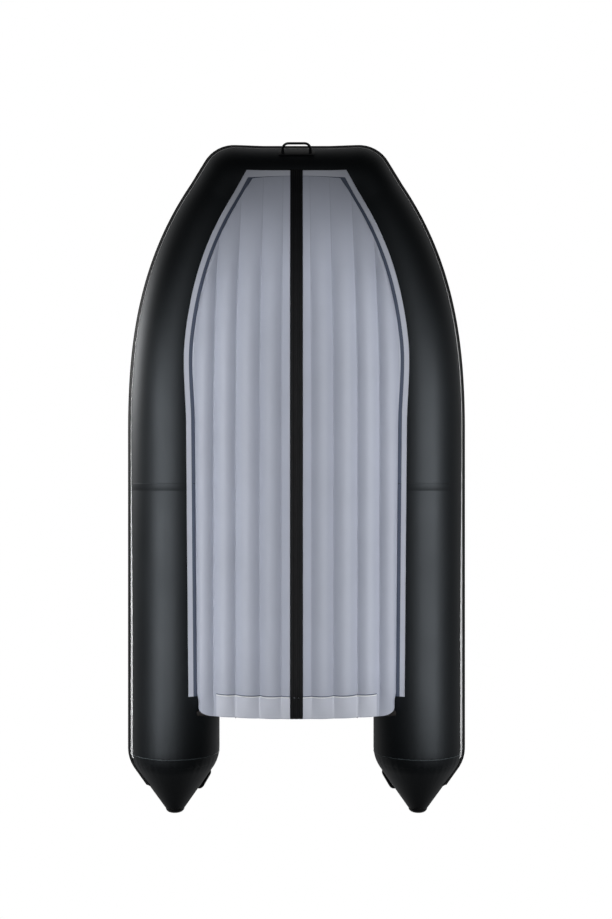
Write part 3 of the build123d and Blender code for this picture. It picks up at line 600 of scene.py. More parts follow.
def grained(name, base, roughness, specular, grain, depth):
    """Moulded or extruded black plastic or rubber: an even fine grain from the tool."""
    if made(name):
        return made(name)
    material, tree, shader, where = blank(name)
    cloud = add(tree, "TexNoise", {"Vector": where, "Scale": 12.0, "Detail": 3.0})
    tint = add(tree, "ValToRGB", {"Fac": cloud.outputs["Fac"]},
               ((0.35, shade(base, 0.88)), (0.65, shade(base, 1.12))))
    spark = add(tree, "TexVoronoi", {"Vector": where, "Scale": 1 / grain}).outputs["Distance"]
    rough = add(tree, "MapRange", {"Value": spark, "To Min": roughness - 0.06,
                                   "To Max": roughness + 0.06})
    bump = add(tree, "Bump", {"Height": spark, "Strength": depth, "Distance": 0.0003})
    plug(tree, shader, {"Base Color": tint.outputs["Color"], "Roughness": rough.outputs["Result"],
                        "Specular IOR Level": specular, "Normal": bump.outputs["Normal"]})
    return material


def strake_rubber():
    """Extruded EPDM of the strake and keel strip: matt, with a dull bloom."""
    return grained("extruded_rubber", colours().rubber, 0.6, 0.18, 0.003, 0.25)


def moulded_nylon():
    """Injection-moulded fittings, spark-eroded satin grain."""
    return grained("moulded_nylon", colours().moulded, 0.42, 0.45, 0.0016, 0.35)


def steel():
    """Polished stainless steel of the eyes, pins and bolts, with faint drawing lines."""
    if made("stainless_steel"):
        return made("stainless_steel")
    material, tree, shader, where = blank("stainless_steel")
    cloud = add(tree, "TexNoise", {"Vector": where, "Scale": 60.0, "Detail": 4.0})
    rough = add(tree, "MapRange", {"Value": cloud.outputs["Fac"], "To Min": 0.16, "To Max": 0.30})
    lines = add(tree, "TexWave", {"Vector": where, "Scale": ridges(0.001), "Distortion": 4.0,
                                  "Detail": 3.0}, bands_direction="Z")
    bump = add(tree, "Bump", {"Height": lines.outputs["Fac"], "Strength": 0.05,
                              "Distance": 0.0002})
    plug(tree, shader, {"Base Color": linear("C9CBCD"), "Metallic": 1.0,
                        "Roughness": rough.outputs["Result"], "Normal": bump.outputs["Normal"]})
    return material


def film_face():
    """Phenolic film on birch plywood: dark brown, pressed with a fine wire mesh."""
    if made("film_faced_plywood"):
        return made("film_faced_plywood")
    material, tree, shader, where = blank("film_faced_plywood")
    base = colours().film
    grain = add(tree, "Mapping", {"Vector": where, "Scale": (1.0, 9.0, 9.0)})
    cloud = add(tree, "TexNoise", {"Vector": grain.outputs["Vector"], "Scale": 9.0, "Detail": 6.0})
    tint = add(tree, "ValToRGB", {"Fac": cloud.outputs["Fac"]},
               ((0.0, shade(base, 0.75)), (1.0, shade(base, 1.3))))
    rough = add(tree, "MapRange", {"Value": cloud.outputs["Fac"], "To Min": 0.30, "To Max": 0.42})
    # The wire mesh is drawn 4 mm apart so that it shows; the real one is finer.
    along, across = [add(tree, "TexWave", {"Vector": where, "Scale": ridges(0.004)},
                         bands_direction=axis).outputs["Fac"] for axis in ("X", "Y")]
    mesh = add(tree, "Math", {0: along, 1: across}, operation="MAXIMUM")
    bump = add(tree, "Bump", {"Height": mesh.outputs["Value"], "Strength": 0.2,
                              "Distance": 0.0002})
    plug(tree, shader, {"Base Color": tint.outputs["Color"], "Roughness": rough.outputs["Result"],
                        "Normal": bump.outputs["Normal"]})
    return material


def ply_edge(name, square, dark, light):
    """Sawn and sealed edge of the plywood: light and dark veneers 1.5 mm thick."""
    if made(name):
        return made(name)
    material, tree, shader, where = blank(name)
    squared = add(tree, "Mapping", {"Vector": where, "Rotation": square})
    veneers = add(tree, "TexWave", {"Vector": squared.outputs["Vector"], "Scale": ridges(0.003),
                                    "Distortion": 0.3}, bands_direction="Z").outputs["Fac"]
    tint = add(tree, "ValToRGB", {"Fac": veneers}, ((0.4, linear(dark)), (0.6, linear(light))))
    bump = add(tree, "Bump", {"Height": veneers, "Strength": 0.15, "Distance": 0.0002})
    plug(tree, shader, {"Base Color": tint.outputs["Color"], "Roughness": 0.6,
                        "Specular IOR Level": 0.15, "Normal": bump.outputs["Normal"]})
    return material


def deck_coat():
    """Non-skid deck of the drop-stitch mat: coated cloth pressed with small pips."""
    if made("embossed_deck_sheet"):
        return made("embossed_deck_sheet")
    material, tree, shader, where = blank("embossed_deck_sheet")
    base = colours().deck
    cloud = add(tree, "TexNoise", {"Vector": where, "Scale": 4.0, "Detail": 5.0})
    tint = add(tree, "ValToRGB", {"Fac": cloud.outputs["Fac"]},
               ((0.35, shade(base, 0.92)), (0.65, shade(base, 1.06))))
    shader.inputs["Roughness"].default_value = 0.6
    # Pips are 3 mm apart; drawn 6 mm apart so that they show.
    pips = add(tree, "TexVoronoi", {"Vector": where, "Scale": 1 / 0.006, "Randomness": 0.1})
    bump = add(tree, "Bump", {"Height": pips.outputs["Distance"], "Strength": 0.5,
                              "Distance": -0.0008})
    plug(tree, shader, {"Base Color": tint.outputs["Color"], "Normal": bump.outputs["Normal"]})
    return material


# ---------------------------------------------------------------- tubes

around_tube = 192


def pucker(y, angle, seams, height=0.0011, reach=0.035):
    """Small gathers that a weld leaves in the skin beside it."""
    waves = math.sin(41 * angle + 1.3) * 0.6 + math.sin(29 * angle + 0.4) * 0.4
    return height * waves * sum(math.exp(-abs(y - seam) / reach) for seam in seams)


def ring_round(place, stand=0.0, seams=(), steps=around_tube):
    ring = []
    for i in range(steps):
        angle = math.tau * i / steps
        off = stand + (pucker(place.centre.y, angle, seams) if seams else 0)
        ring.append(at(place, (place.half_width + off) * math.cos(angle),
                       (place.half_height + off) * math.sin(angle)))
    return ring


def rows_near(start, end, seams, step=0.05):
    """Stations from start to end, close together beside the seams."""
    near = (0.0, 0.003, 0.007, 0.012, 0.018, 0.026, 0.036, 0.05, 0.07)
    found = {round(y, 5) for y in spaced(start, end, step)}
    found |= {round(seam + side * d, 5) for seam in seams for d in near for side in (-1, 1)}
    return sorted(y for y in found if start - 1e-6 <= y <= end + 1e-6)


chamber_seam, cone_seam = tube_low.y, cone_low.y


class BOAT_OT_bow_chamber(bpy.types.Operator):
    """Bow chamber: the side tubes rise, taper and turn in to a cross tube"""

    bl_idname = "boat.bow_chamber"
    bl_label = "Bow chamber"

    def execute(self, context):
        rings = [ring_round(place, steps=120) for place in route(chamber_seam)]
        fit(skin("bow_skin", rings), tube_coat(), "tube", "bow_chamber")
        return {"FINISHED"}


class BOAT_OT_side_chambers(bpy.types.Operator):
    """Side chambers and the cones welded on behind them"""

    bl_idname = "boat.side_chambers"
    bl_label = "Side chambers"

    def execute(self, context):
        for name, turn in (("port", lambda p: p), ("starboard", mirrored)):
            rows = rows_near(chamber_seam, cone_seam, (cone_seam,))
            rings = [ring_round(turn(aft_place(y)), seams=(cone_seam,)) for y in rows]
            fit(skin(f"{name}_side_skin", rings), tube_coat(), "tube", f"{name}_chamber")
            rows = rows_near(cone_seam, cone_high.y, (cone_seam,), 0.02)
            rings = [ring_round(turn(aft_place(y)), seams=(cone_seam,)) for y in rows]
            fit(skin(f"{name}_cone_skin", rings), tube_coat(), "tube", f"{name}_cone")
            for label, start, end in (("middle", chamber_seam - 0.024, chamber_seam + 0.016),
                                      ("cone", cone_seam - 0.047, cone_seam + 0.004)):
                stands = [(start, 0.0001), (start + 0.0012, 0.0009), (start + 0.004, 0.0006),
                          (end - 0.001, 0.0006), (end, 0.0001)]
                rings = [ring_round(turn(aft_place(y)), stand) for y, stand in stands]
                fit(skin(f"{name}_{label}_lap", rings, 60), tube_coat(), "tube")
            # Painted highlight: a raised bead in a paler grey draws the light line along the
            # cone's weld.
            edge = cone_seam - 0.051
            bead = [(edge, 0.0001), (edge + 0.001, 0.0015), (edge + 0.0035, 0.0015),
                    (edge + 0.0045, 0.0001)]
            rings = [ring_round(turn(aft_place(y)), stand) for y, stand in bead]
            fit(skin(f"{name}_cone_weld_highlight", rings, 60), weld_highlight_coat(), "tube")
        return {"FINISHED"}


class BOAT_OT_cone_caps(bpy.types.Operator):
    """Moulded caps on the tips of the cones"""

    bl_idname = "boat.cone_caps"
    bl_label = "Cone caps"

    def execute(self, context):
        s = hull()
        depth = cap_high.y - cap_low.y
        rim = (cap_high.z - cap_low.z) / 2
        profile = [(rim * 0.6, 0), (rim, 0), (rim + 0.001, 0.002), (rim, 0.004),
                   (rim - 0.002, 0.006)]
        for i in range(1, 13):
            angle = math.pi / 2 * i / 12
            profile.append((0.012 + (rim - 0.014) * math.cos(angle) ** 0.8 if i < 12 else 0.012,
                            0.006 + (depth - 0.006) * math.sin(angle)))
        profile.append((0.0, depth))
        caps = []
        for side in (1, -1):
            seat = Matrix.Translation((side * s.half_gauge, cap_low.y, s.tube_radius)) \
                @ Matrix.Rotation(-math.pi / 2, 4, "X")
            caps.append(turned("cap", seat, profile, 64))
        fit(joined("cone_end_caps", caps), moulded_nylon(), "moulded", "cone_caps")
        return {"FINISHED"}


# ---------------------------------------------------------------- strake, tape and flange


class BOAT_OT_rub_strake(bpy.types.Operator):
    """Ribbed rub strake round the hull on its light tape"""

    bl_idname = "boat.rub_strake"
    bl_label = "Rub strake"

    def execute(self, context):
        rings = []
        for place in route(tape_end):
            shown = min(1.0, max(0.0, (place.centre.y + 0.35) / 1.3))
            half = hull().strake_width / 2 + 0.006 + 0.027 * shown**2 * (3 - 2 * shown)
            heights = spaced(-half, half, 2 * half / 16)
            outer = [(surface(place, h, 0.0018), h) for h in heights]
            inner = [(surface(place, h, 0.0004), h) for h in reversed(heights)]
            rings.append([at(place, a, b) for a, b in outer + inner])
        fit(skin("edge_tape", rings), tape_coat(), "tape", "strake_tape")
        rings = [[at(place, a, b) for a, b in self.section(place)]
                 for place in route(strake_end)]
        fit(skin("ribbed_strake", rings, 30), strake_rubber(), "strake", "rub_strake")
        return {"FINISHED"}

    def section(self, place):
        """Three ribs with rounded shoulders between thin edges."""
        s = hull()
        edge, stand, foot = s.strake_width / 2, s.strake_stand, 0.0024
        outer = [(-edge, foot), (-edge + 0.001, 0.0055), (-0.0545, 0.0065)]
        for middle in (-0.032, 0, 0.032):
            for across, height in ((-0.0125, 0.72), (-0.0105, 0.93), (-0.006, 1.0), (0.006, 1.0),
                                   (0.0105, 0.93), (0.0125, 0.72)):
                outer.append((middle + across, stand * height))
        outer += [(0.0545, 0.0065), (edge - 0.001, 0.0055), (edge, foot)]
        points = [(surface(place, h, 0) + t, h) for h, t in outer]
        points += [(surface(place, h, 0.0024), h) for h in (edge * 0.6, 0, -edge * 0.6)]
        return points


def share_at(y):
    start = bow_start()
    return min(1.0, max(0.0, (start - y) / (start - hull().bow_axis)))


def flange_in(y):
    """Distance inboard of the tube's axis to the outer edge of the flange."""
    b = floor()
    start = bow_start()
    if y > start:
        return b.flange_mid + (b.flange_aft - b.flange_mid) * (y - start) / (b.flange_end - start)
    ease = max(0.0, 1 - share_at(y) / 0.34)
    return b.flange_bow + (b.flange_mid - b.flange_bow) * ease**2 * (3 - 2 * ease)


def bottom_in(y):
    return flange_in(y) + floor().flange_width + floor().edge_gap


def edge_line(inset):
    """Y and X of a line inboard of the port tube's axis, from ahead of the bow to the stern."""
    s = hull()
    start = bow_start()
    points = [Vector((s.half_gauge - inset(y), y, 0)) for y in spaced(1.4, start, 0.05)]
    for y in spaced(start, start - s.bow_run * s.corner_share, 0.02)[1:]:
        place = side_place(y)
        points.append(place.centre - place.out * inset(y))
    points.append(points[-1] + (points[-1] - points[-2]).normalized() * 0.3)
    points.reverse()
    return [p.y for p in points], [p.x for p in points]


def hull_under(x, y):
    """Height of the tubes' underside over a place."""
    s = hull()
    if y > chamber_seam:
        return s.tube_radius - math.sqrt(s.tube_radius**2 - (s.half_gauge - abs(x)) ** 2)
    below, up = Vector((x, y, -1)), Vector((0, 0, 1))
    return bpy.data.objects["bow_skin"].ray_cast(below, up)[1].z


class BOAT_OT_floor_flange(bpy.types.Operator):
    """Strip that welds the bottom to the underside of the tubes, mitred at the corners"""

    bl_idname = "boat.floor_flange"
    bl_label = "Floor flange"

    def execute(self, context):
        b = floor()
        ahead, behind = hull().bow_axis - 0.021, b.front - 0.001
        strip = ((0, 0.0003), (0.03, 0.0019), (0.06, 0.0026), (0.12, 0.0018), (0.3, 0.0014),
                 (0.7, 0.0014), (0.9, 0.0016), (0.97, 0.0018), (1, 0.0003))
        lines = edge_line(flange_in), edge_line(lambda y: flange_in(y) + b.flange_width)
        fit(self.band("welding_strip", lines, (ahead, behind), strip), strip_coat(), "flange",
            "floor_flange")
        # The cloth turned into the groove is real; its slate colour is painted shade for the fold.
        lines = lines[1], edge_line(lambda y: bottom_in(y) + 0.006)
        sheet = ((0, 0.0002), (0.05, 0.0011), (0.95, 0.0011), (1, 0.0002))
        fit(self.band("turned_in_shade_sheet", lines, (behind - 0.004, behind + 0.004), sheet),
            painted_shade_coat(), "flange")
        return {"FINISHED"}

    def band(self, name, lines, fronts, stands):
        """Band between two lines under the port tube, mitred ahead and mirrored to starboard."""
        b = floor()
        edges = []
        for t in spaced(0, 1, 1 / 130):
            spots = []
            for line, front in zip(lines, fronts):
                corner = front + (b.front_bow if front > b.front - 0.01 else 0)
                y = b.flange_end + (corner - b.flange_end) * t
                spots.append((float(np.interp(y, *line)), y))
            edges.append(spots)
        corners = edges[-1]
        for t in spaced(1, 0, 1 / 14)[1:]:
            edges.append([(x * t, front + (y - front) * t * t)
                          for (x, y), front in zip(corners, fronts)])
        edges += [[(-x, y) for x, y in spots] for spots in reversed(edges[:-1])]
        rings = []
        for (x0, y0), (x1, y1) in edges:
            under, over = [], []
            for t, stand in stands:
                x, y = x0 + (x1 - x0) * t, y0 + (y1 - y0) * t
                z = hull_under(x, y)
                under.append(Vector((x, y, z - stand)))
                over.append(Vector((x, y, z + 0.0004)))
            rings.append(under + over[::-1])
        return skin(name, rings, 50)


# ---------------------------------------------------------------- bottom, keel strip and mat


hem_half = 0.438  # half width of the hem, between the rear corners


def channel_seams():
    return [floor().bottom_half * share for share in (0.145, 0.357, 0.589, 0.802, 1.0)]


def bottom_top(y):
    """Height of the bottom's upper face over the hull's lowest line."""
    y = min(y, bow_start())
    share = share_at(y)
    nip = max(0.0, (share - 0.75) / 0.25)
    radius = tube_size(share)
    under = radius - math.sqrt(radius**2 - bottom_in(y) ** 2) - 0.0006 - 0.005 * share
    return under * (1 - 0.95 * nip**3)


def fullness(y):
    """How full the channels stand: they run out in the bow and towards the rear edge."""
    b = floor()
    if y > b.hem:
        return 1 - 0.75 * (y - b.hem) / (b.end - b.hem)
    gone = min(1.0, max(0.0, (share_at(y) - 0.60) / 0.36))
    return 1 - 0.95 * gone ** 0.8


def channel_at(x, y):
    """Nearest seams on either side of a place, drawn a little closer together in the bow."""
    drawn = 1 - 0.08 * share_at(y) ** 2
    seams = [seam * drawn for seam in channel_seams()]
    low, high = -seams[0], seams[0]
    for left, right in zip(seams, seams[1:]):
        if abs(x) > left:
            low, high = left, right
    return low, high


def lower_face(x, y, edge):
    """Height of the bottom's lower face: channels bulge between seams and the rim turns up."""
    x = abs(x)
    top = rise(y) + bottom_top(y)
    low, high = channel_at(x, y)
    half = (high - low) / 2
    t = min(1.0, abs(x - (low + high) / 2) / half)
    level = rise(y) + bottom_top(y) * 0.93
    t = min(1.0, t / (1 - 0.0022 / half))
    depth = floor().channel_depth * (0.76 if low < 0 else 1)
    z = level - depth * fullness(y) * (1 - t**2.05)
    rim = 0.02
    turned_up = min(1.0, max(0.0, (x - edge + rim) / rim))
    return z + (top - 0.001 - z) * (1 - math.sqrt(1 - turned_up**2))


def gather(x, y, edge):
    """Fine puckers across the cloth, beside the welds round the bow."""
    share = share_at(y)
    near = math.exp(-((edge - abs(x)) / 0.045) ** 2) + math.exp(-((y - floor().front) / 0.05) ** 2)
    waves = math.sin(150 * y + 9 * math.sin(17 * x)) * math.sin(61 * y + 2.1) \
        + 0.7 * math.sin(104 * x + 23 * y)
    return 0.0011 * waves * min(1.0, near) * min(1.0, max(0.15, share * 1.6))


class BOAT_OT_bottom(bpy.types.Operator):
    """Bottom in channels, bowed and rounded at its rear edge"""

    bl_idname = "boat.bottom"
    bl_label = "Bottom"

    def execute(self, context):
        b = floor()
        ys, xs = edge_line(bottom_in)
        rim = 0.021
        seams = channel_seams()
        columns = {0.0}
        for left, right in zip([-seams[0]] + seams, seams):
            columns |= {round(left + (right - left) * (1 - math.cos(math.pi * i / 16)) / 2, 5)
                        for i in range(1, 17)}
            columns |= {round(left + 0.0024, 5), round(right - 0.0024, 5)}
        columns = sorted(x for x in columns if x >= 0)
        columns = [-x for x in columns[:0:-1]] + columns
        rows = []
        for y in spaced(b.front, b.hem, 0.012):
            rows.append((y, float(np.interp(y, ys, xs)), None))
        side = rows[-1][1]
        for v in spaced(0.08, 1, 0.08):
            rows.append((b.hem, side - 0.008 * min(1.0, v / 0.54), v))
        rings = [self.ring(columns, rim, *row) for row in rows]
        piece = skin("bottom_skin", rings)
        # Painted shade along the welded seams.
        self.mark_seams(piece)
        fit(piece, bottom_coat(), "bottom", "bottom")
        return {"FINISHED"}

    def rear(self, x):
        """Rear edge: bowed between rounded corners."""
        b = floor()
        x = abs(x)
        if x < hem_half:
            return b.end - 0.015 * (x / hem_half) ** 2
        t = min(1.0, (x - hem_half) / (0.536 - hem_half))
        return b.end - 0.067 + 0.052 * math.sqrt(1 - t**2)

    def ring(self, columns, rim, y, edge, v):
        """Closed section: columns that lie past the edge close up where its rim begins."""
        b = floor()
        drawn = 1 - 0.08 * share_at(y) ** 2
        inside = [max(rim - edge, min(edge - rim, x * drawn)) for x in columns]
        turn = [rim * (1 - math.cos(math.pi / 2 * i / 7)) for i in range(1, 8)]
        rims = [edge - rim + rim * math.sin(math.pi / 2 * i / 7) for i in range(1, 8)]
        across = [-x for x in reversed(rims)] + inside + rims
        lower, upper = [], []
        for x in across:
            place = y
            if v is not None:
                place = b.hem + v * (self.rear(x) - b.hem)
            ahead = max(0.0, 1 - (y - b.front) / 0.08)
            place += b.front_bow * ahead * (x / 0.23) ** 2
            top = rise(place) + bottom_top(place)
            low = min(lower_face(x, place, edge) + gather(x, place, edge), top - 0.0006)
            lower.append(Vector((x, place, low)))
            upper.append(Vector((x, place, top)))
        return lower + upper[::-1][1:-1]

    def mark_seams(self, piece):
        """Painted shade along the welded seams: darkens the cloth where the grooves fall into
        shadow, more where the channels stand full.
        """
        values = []
        for vertex in piece.data.vertices:
            x, y, _ = vertex.co
            low, high = channel_at(x, y)
            near = min(abs(abs(x) - low), abs(high - abs(x)))
            values.append(0.3 * math.exp(-(near / 0.0022) ** 2) * min(1.0, 0.3 + fullness(y)))
        layer = piece.data.attributes.new("seam", "FLOAT", "POINT")
        layer.data.foreach_set("value", values)


class BOAT_OT_keel_strip(bpy.types.Operator):
    """Ribbed rubber strip under the middle channel"""

    bl_idname = "boat.keel_strip"
    bl_label = "Keel strip"

    def execute(self, context):
        b = floor()
        half = b.keel_width / 2
        rings = []
        for y in spaced(hull().bow_axis - 0.024, b.end - 0.002, 0.02):
            level = lower_face(0, max(y, b.front), b.bottom_half) - 0.0004
            if y < b.front + 0.02:
                level = min(level, hull_under(0, y) - 0.0022)
            outline = [(-half, 0.0016), (-half, -0.003), (-half + 0.0015, -0.0036)]
            for middle in (-0.0245, 0, 0.0245):
                for across, drop in ((-0.0090, -0.0030), (-0.0062, -0.0060), (-0.0030, -0.0074),
                                     (0.0030, -0.0074), (0.0062, -0.0060), (0.0090, -0.0030)):
                    outline.append((middle + across, drop))
            outline += [(half - 0.0015, -0.0036), (half, -0.003), (half, 0.0016)]
            rings.append([Vector((x, y, level + z)) for x, z in outline])
        fit(skin("keel_rubber", rings, 35), strake_rubber(), "strake", "keel_strip")
        return {"FINISHED"}


mat_thick, mat_corner = 0.118, 0.06
mat_end = 0.04  # over which the mat's two ends round off
mat_round, mat_crown, mat_reed = 0.045, 0.006, 0.125  # round side, and ridges along the deck
skin_gap = 0.0006  # between two skins that follow the curve of the bow


class BOAT_OT_air_mat(bpy.types.Operator):
    """Drop-stitch air mat that makes the deck"""

    bl_idname = "boat.air_mat"
    bl_label = "Air mat"

    def execute(self, context):
        ys, xs = edge_line(self.inset)
        start, end = mat_low.y, mat_high.y
        near = (0.0, 0.004, 0.012, 0.024)
        stations = [start + d for d in near] + spaced(start + mat_end, end - mat_end, 0.03)
        stations += [end - d for d in reversed(near)]
        rings = []
        for y in stations:
            edge = float(np.interp(y, ys, xs)) - 0.001
            for far in (y - start, end - y):
                if far < mat_corner:
                    edge -= mat_corner - math.sqrt(max(0, mat_corner**2 - (mat_corner - far) ** 2))
            far = min(y - start, end - y)
            squeeze = 1.0
            if far < mat_end:
                squeeze = min(1.0, math.sqrt(max(0.04, 1 - (1 - far / mat_end) ** 2)))
            middle = rise(y) + bottom_top(y) + 1.5 * skin_gap + mat_thick / 2
            rings.append(self.ring(y, edge, middle, mat_thick / 2 * squeeze))
        piece = skin("deck_mat", rings)
        fit(piece, deck_coat(), "deck", "air_mat")
        return {"FINISHED"}

    def inset(self, y):
        """To the inner side of a tube at the height of the deck."""
        radius = tube_size(share_at(y))
        return math.sqrt(radius**2 - (radius - mat_thick - 0.03) ** 2) + 0.004

    def ring(self, y, edge, middle, half):
        top, low = [], []
        for t in spaced(-1, 1, 0.0125):
            x = edge * t
            near = max(0.0, (abs(x) - edge + mat_round) / mat_round)
            share = math.sqrt(max(0.0, 1 - near**2))
            lobe = 1 - abs(math.cos(math.pi * abs(x) / mat_reed)) ** 6
            crown = mat_crown * max(0.3, fullness(min(y, floor().hem))) * lobe
            top.append(Vector((x, y, middle + (half - mat_crown) * share + crown * share)))
            low.append(Vector((x, y, middle - half * share)))
        return top + low[::-1]


hem_start, hem_sag = 1.214, 0.016  # front edge at the middle, and how far its ends come ahead
rear_sag = 0.015  # the same at the rear edge


class BOAT_OT_rear_hem(bpy.types.Operator):
    """Band that closes the channels at the stern"""

    bl_idname = "boat.rear_hem"
    bl_label = "Rear hem"

    def execute(self, context):
        b = floor()
        rings = []
        for x in spaced(-hem_half, hem_half, 0.006):
            rings.append(self.section(x))
        fit(skin("rear_hem", rings), strip_coat(), "bottom", "rear_band")
        # Painted highlight: a raised bead in the light tape colour along the hem's front edge.
        fit(self.line("hem_highlight_bead", 0.0, 0.0065, 0.0044), tape_coat(), "bottom")
        # Painted shadow: a thin slate line just ahead of the hem.
        fit(self.line("hem_shadow_line", -0.005, 0.0045, 0.0008), painted_shade_coat(), "bottom")
        return {"FINISHED"}

    def line(self, name, behind, width, stand):
        """Narrow bead across the channels, behind or ahead of the hem's front edge; it carries the
        hem's painted highlight or painted shadow line.
        """
        rings = []
        for x in spaced(-hem_half, hem_half, 0.006):
            y = hem_start - hem_sag * (x / hem_half) ** 2 + behind
            face = lower_face(x, y + width / 2, floor().bottom_half)
            # Pressed down where it passes under the keel strip.
            top = stand if abs(x) > 0.036 else 0.3 * stand
            rings.append([Vector((x, y + width * t, face - rise))
                          for t, rise in ((0, -0.0005), (0.2, top), (0.8, top), (1, -0.0005))])
        return skin(name, rings)

    def section(self, x):
        """Flat band with a bead along its front edge."""
        b = floor()
        share = (x / hem_half) ** 2
        start, end = hem_start - hem_sag * share, b.end - 0.004 - rear_sag * share
        under, over = [], []
        spots = [(start, 0.0006), (start + 0.0008, 0.0032), (start + 0.0028, 0.0040),
                 (start + 0.0050, 0.0030), (start + 0.0062, 0.0020)]
        spots += [(y, 0.0020) for y in spaced(start + 0.012, end, 0.01)] + [(end + 0.001, 0.0008)]
        for y, stand in spots:
            face = lower_face(x, y, b.bottom_half)
            under.append(Vector((x, y, face - stand)))
            over.append(Vector((x, y, face + 0.0006)))
        return under + over[::-1]


# ---------------------------------------------------------------- boards and fittings


def raked(x, up, facing=1):
    """Seat on the transom's forward (1) or aft (-1) face, up its slope from the foot."""
    s = fittings()
    lean = s.rake
    slope = Vector((0, math.sin(lean), math.cos(lean)))
    ahead = Vector((0, -math.cos(lean), math.sin(lean)))
    depth = s.board if facing > 0 else 0.0
    aft_face = board_high.y - (board_high.z - board_low.z) * math.tan(lean)
    seat = Matrix((Vector((facing, 0, 0)), slope, ahead * facing)).transposed().to_4x4()
    seat.translation = Vector((x, aft_face, board_low.z)) + slope * up + ahead * depth
    return seat


def up_slope(low, high):
    """Middle of a box, measured up the transom's slope from its foot."""
    return ((low.z + high.z) / 2 - board_low.z) / math.cos(fittings().rake)


def faced(piece, thickness_axis, edge):
    """Film on a board's two faces and bare veneers on its edges."""
    piece.data.materials.append(edge)
    for face in piece.data.polygons:
        face.material_index = int(abs(face.normal.dot(thickness_axis)) < 0.5)


def bolt(name, seat, radius=0.008):
    """Domed coach bolt on a washer."""
    profile = [(radius * 1.35, 0.0), (radius * 1.35, 0.0014), (radius * 1.2, 0.0018),
               (radius, 0.0018), (radius * 0.97, 0.0026), (radius * 0.8, 0.0044),
               (radius * 0.45, 0.0056), (0.0004, 0.006)]
    return turned(name, seat, profile, 32)


def loop(name, seat, span, stand, thick=0.009, flat=1.0, low=0.002):
    """Carrying handle over a seat: a ribbed bar rising from two flared feet."""
    turn = stand * 0.55
    path = [Vector((-span / 2, 0, low)), Vector((-span / 2, 0, stand - turn))]
    path += [Vector((-span / 2 + turn - turn * math.cos(a), 0, stand - turn + turn * math.sin(a)))
             for a in spaced(0, math.pi / 2, 0.13)[1:]]
    rising = list(path)
    path += [Vector((x, 0, stand))
             for x in spaced(-span / 2 + turn, span / 2 - turn, 0.0016)[1:-1]]
    path += [Vector((-p.x, 0, p.z)) for p in reversed(rising)]
    radii = []
    for p in path:
        ribs = 0.04 * math.cos(math.tau * p.x / 0.009) if abs(p.x) < span / 2 - turn - 0.004 else 0
        flare = 0.45 * math.exp(-max(0.0, p.z - low) / 0.007)
        radii.append(thick * (1 + ribs + flare))
    return bar(name, [seat @ p for p in path], radii, 24, flat)


def handle(name, seat, span, stand, thick=0.009, flat=1.0):
    """The loop on a welded pad, a little sunk in the curve of the skin."""
    pad = fittings().grip_pad
    plate = rounded_box("pad", seat @ Matrix.Translation((0, 0, -0.0015)),
                        (span + pad, pad, 0.0058), 0.0018)
    return joined(name, [loop("loop", seat, span, stand, thick, flat), plate])


class BOAT_OT_transom(bpy.types.Operator):
    """Transom board in its rubber holders, with motor pads, drain and towing eyes"""

    bl_idname = "boat.transom"
    bl_label = "Transom"

    def execute(self, context):
        s = fittings()
        across = Vector((0, -math.cos(s.rake), math.sin(s.rake)))
        board = fit(drawn("transom_board", "transom", 0.0022), film_face(), "plywood", "transom")
        faced(board, across, ply_edge("plywood_edge_upright", (s.rake - math.pi / 2, 0, 0),
                                      "0B0908", "17120F"))
        fit(drawn("transom_channels", "transom_holders", 0.0008), strake_rubber(), "strake",
            "transom_holders")
        self.pad("outer_clamp_plate", "outer_motor_pad", -1, 0.008)
        self.pad("inner_clamp_plate", "inner_motor_pad", 1, 0.006)
        self.drain()
        self.eyes()
        return {"FINISHED"}

    def pad(self, name, node, facing, stand):
        """Moulded plate with a sunk middle in ribs and a bolt in each corner."""
        low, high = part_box(node)
        size = high - low
        middle = raked((low.x + high.x) / 2, up_slope(low, high), facing)
        plate = drawn(name, node, 0.0012)
        face = middle @ Matrix.Translation((0, 0, stand))
        ribs = []
        count = round((size.z - 0.05) / 0.014)
        for i in range(count):
            up = (i - (count - 1) / 2) * 0.014
            seat = face @ Matrix.Translation((0, up, -0.001))
            ribs.append(rounded_box("rib", seat, (size.x - 0.076, 0.0055, 0.0024), 0.001, 2))
        fit(joined(name, [plate] + ribs), moulded_nylon(), "moulded", node)
        bolts = []
        for x in (-1, 1):
            for up in (-1, 1):
                seat = face @ Matrix.Translation((x * (size.x / 2 - 0.02),
                                                  up * (size.z / 2 - 0.02), -0.0004))
                bolts.append(bolt("bolt", seat, 0.006))
        fit(joined(name + "_bolts", bolts), steel(), "metal")

    def drain(self):
        low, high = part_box("drain_valve")
        body = drawn("drain_body", "drain_valve", 0.0008)
        seat = raked((low.x + high.x) / 2, up_slope(low, high), -1)
        spout = seat @ Matrix.Translation((0, 0, 0.012))
        cap = turned("drain_cap", spout, [(0.0185, 0.0), (0.0192, 0.0006), (0.0192, 0.005),
                                          (0.018, 0.0062), (0.013, 0.0062), (0.0125, 0.0045),
                                          (0.0004, 0.0045)], 72, 40, 18, 0.0006)
        bridge = rounded_box("drain_bridge", spout @ Matrix.Translation((0, 0, 0.003)),
                             (0.024, 0.004, 0.0034), 0.0008, 2)
        fit(joined("drain_body", [body, cap, bridge]), moulded_nylon(), "moulded", "drain_valve")

    def eyes(self):
        low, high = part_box("tow_eyes")
        s = fittings()
        up = up_slope(low, high)
        pieces = [drawn("towing_eyes", "tow_eyes", 0.0007)]
        for x in (low.x + 0.023, high.x - 0.023):
            for across in (-0.0155, 0.0155):
                for shift in (-0.027, 0.027):
                    seat = raked(x + across, up + shift, -1) @ Matrix.Translation((0, 0, 0.0038))
                    pieces.append(bolt("screw", seat, 0.0034))
        fit(joined("towing_eyes", pieces), steel(), "metal", "tow_eyes")


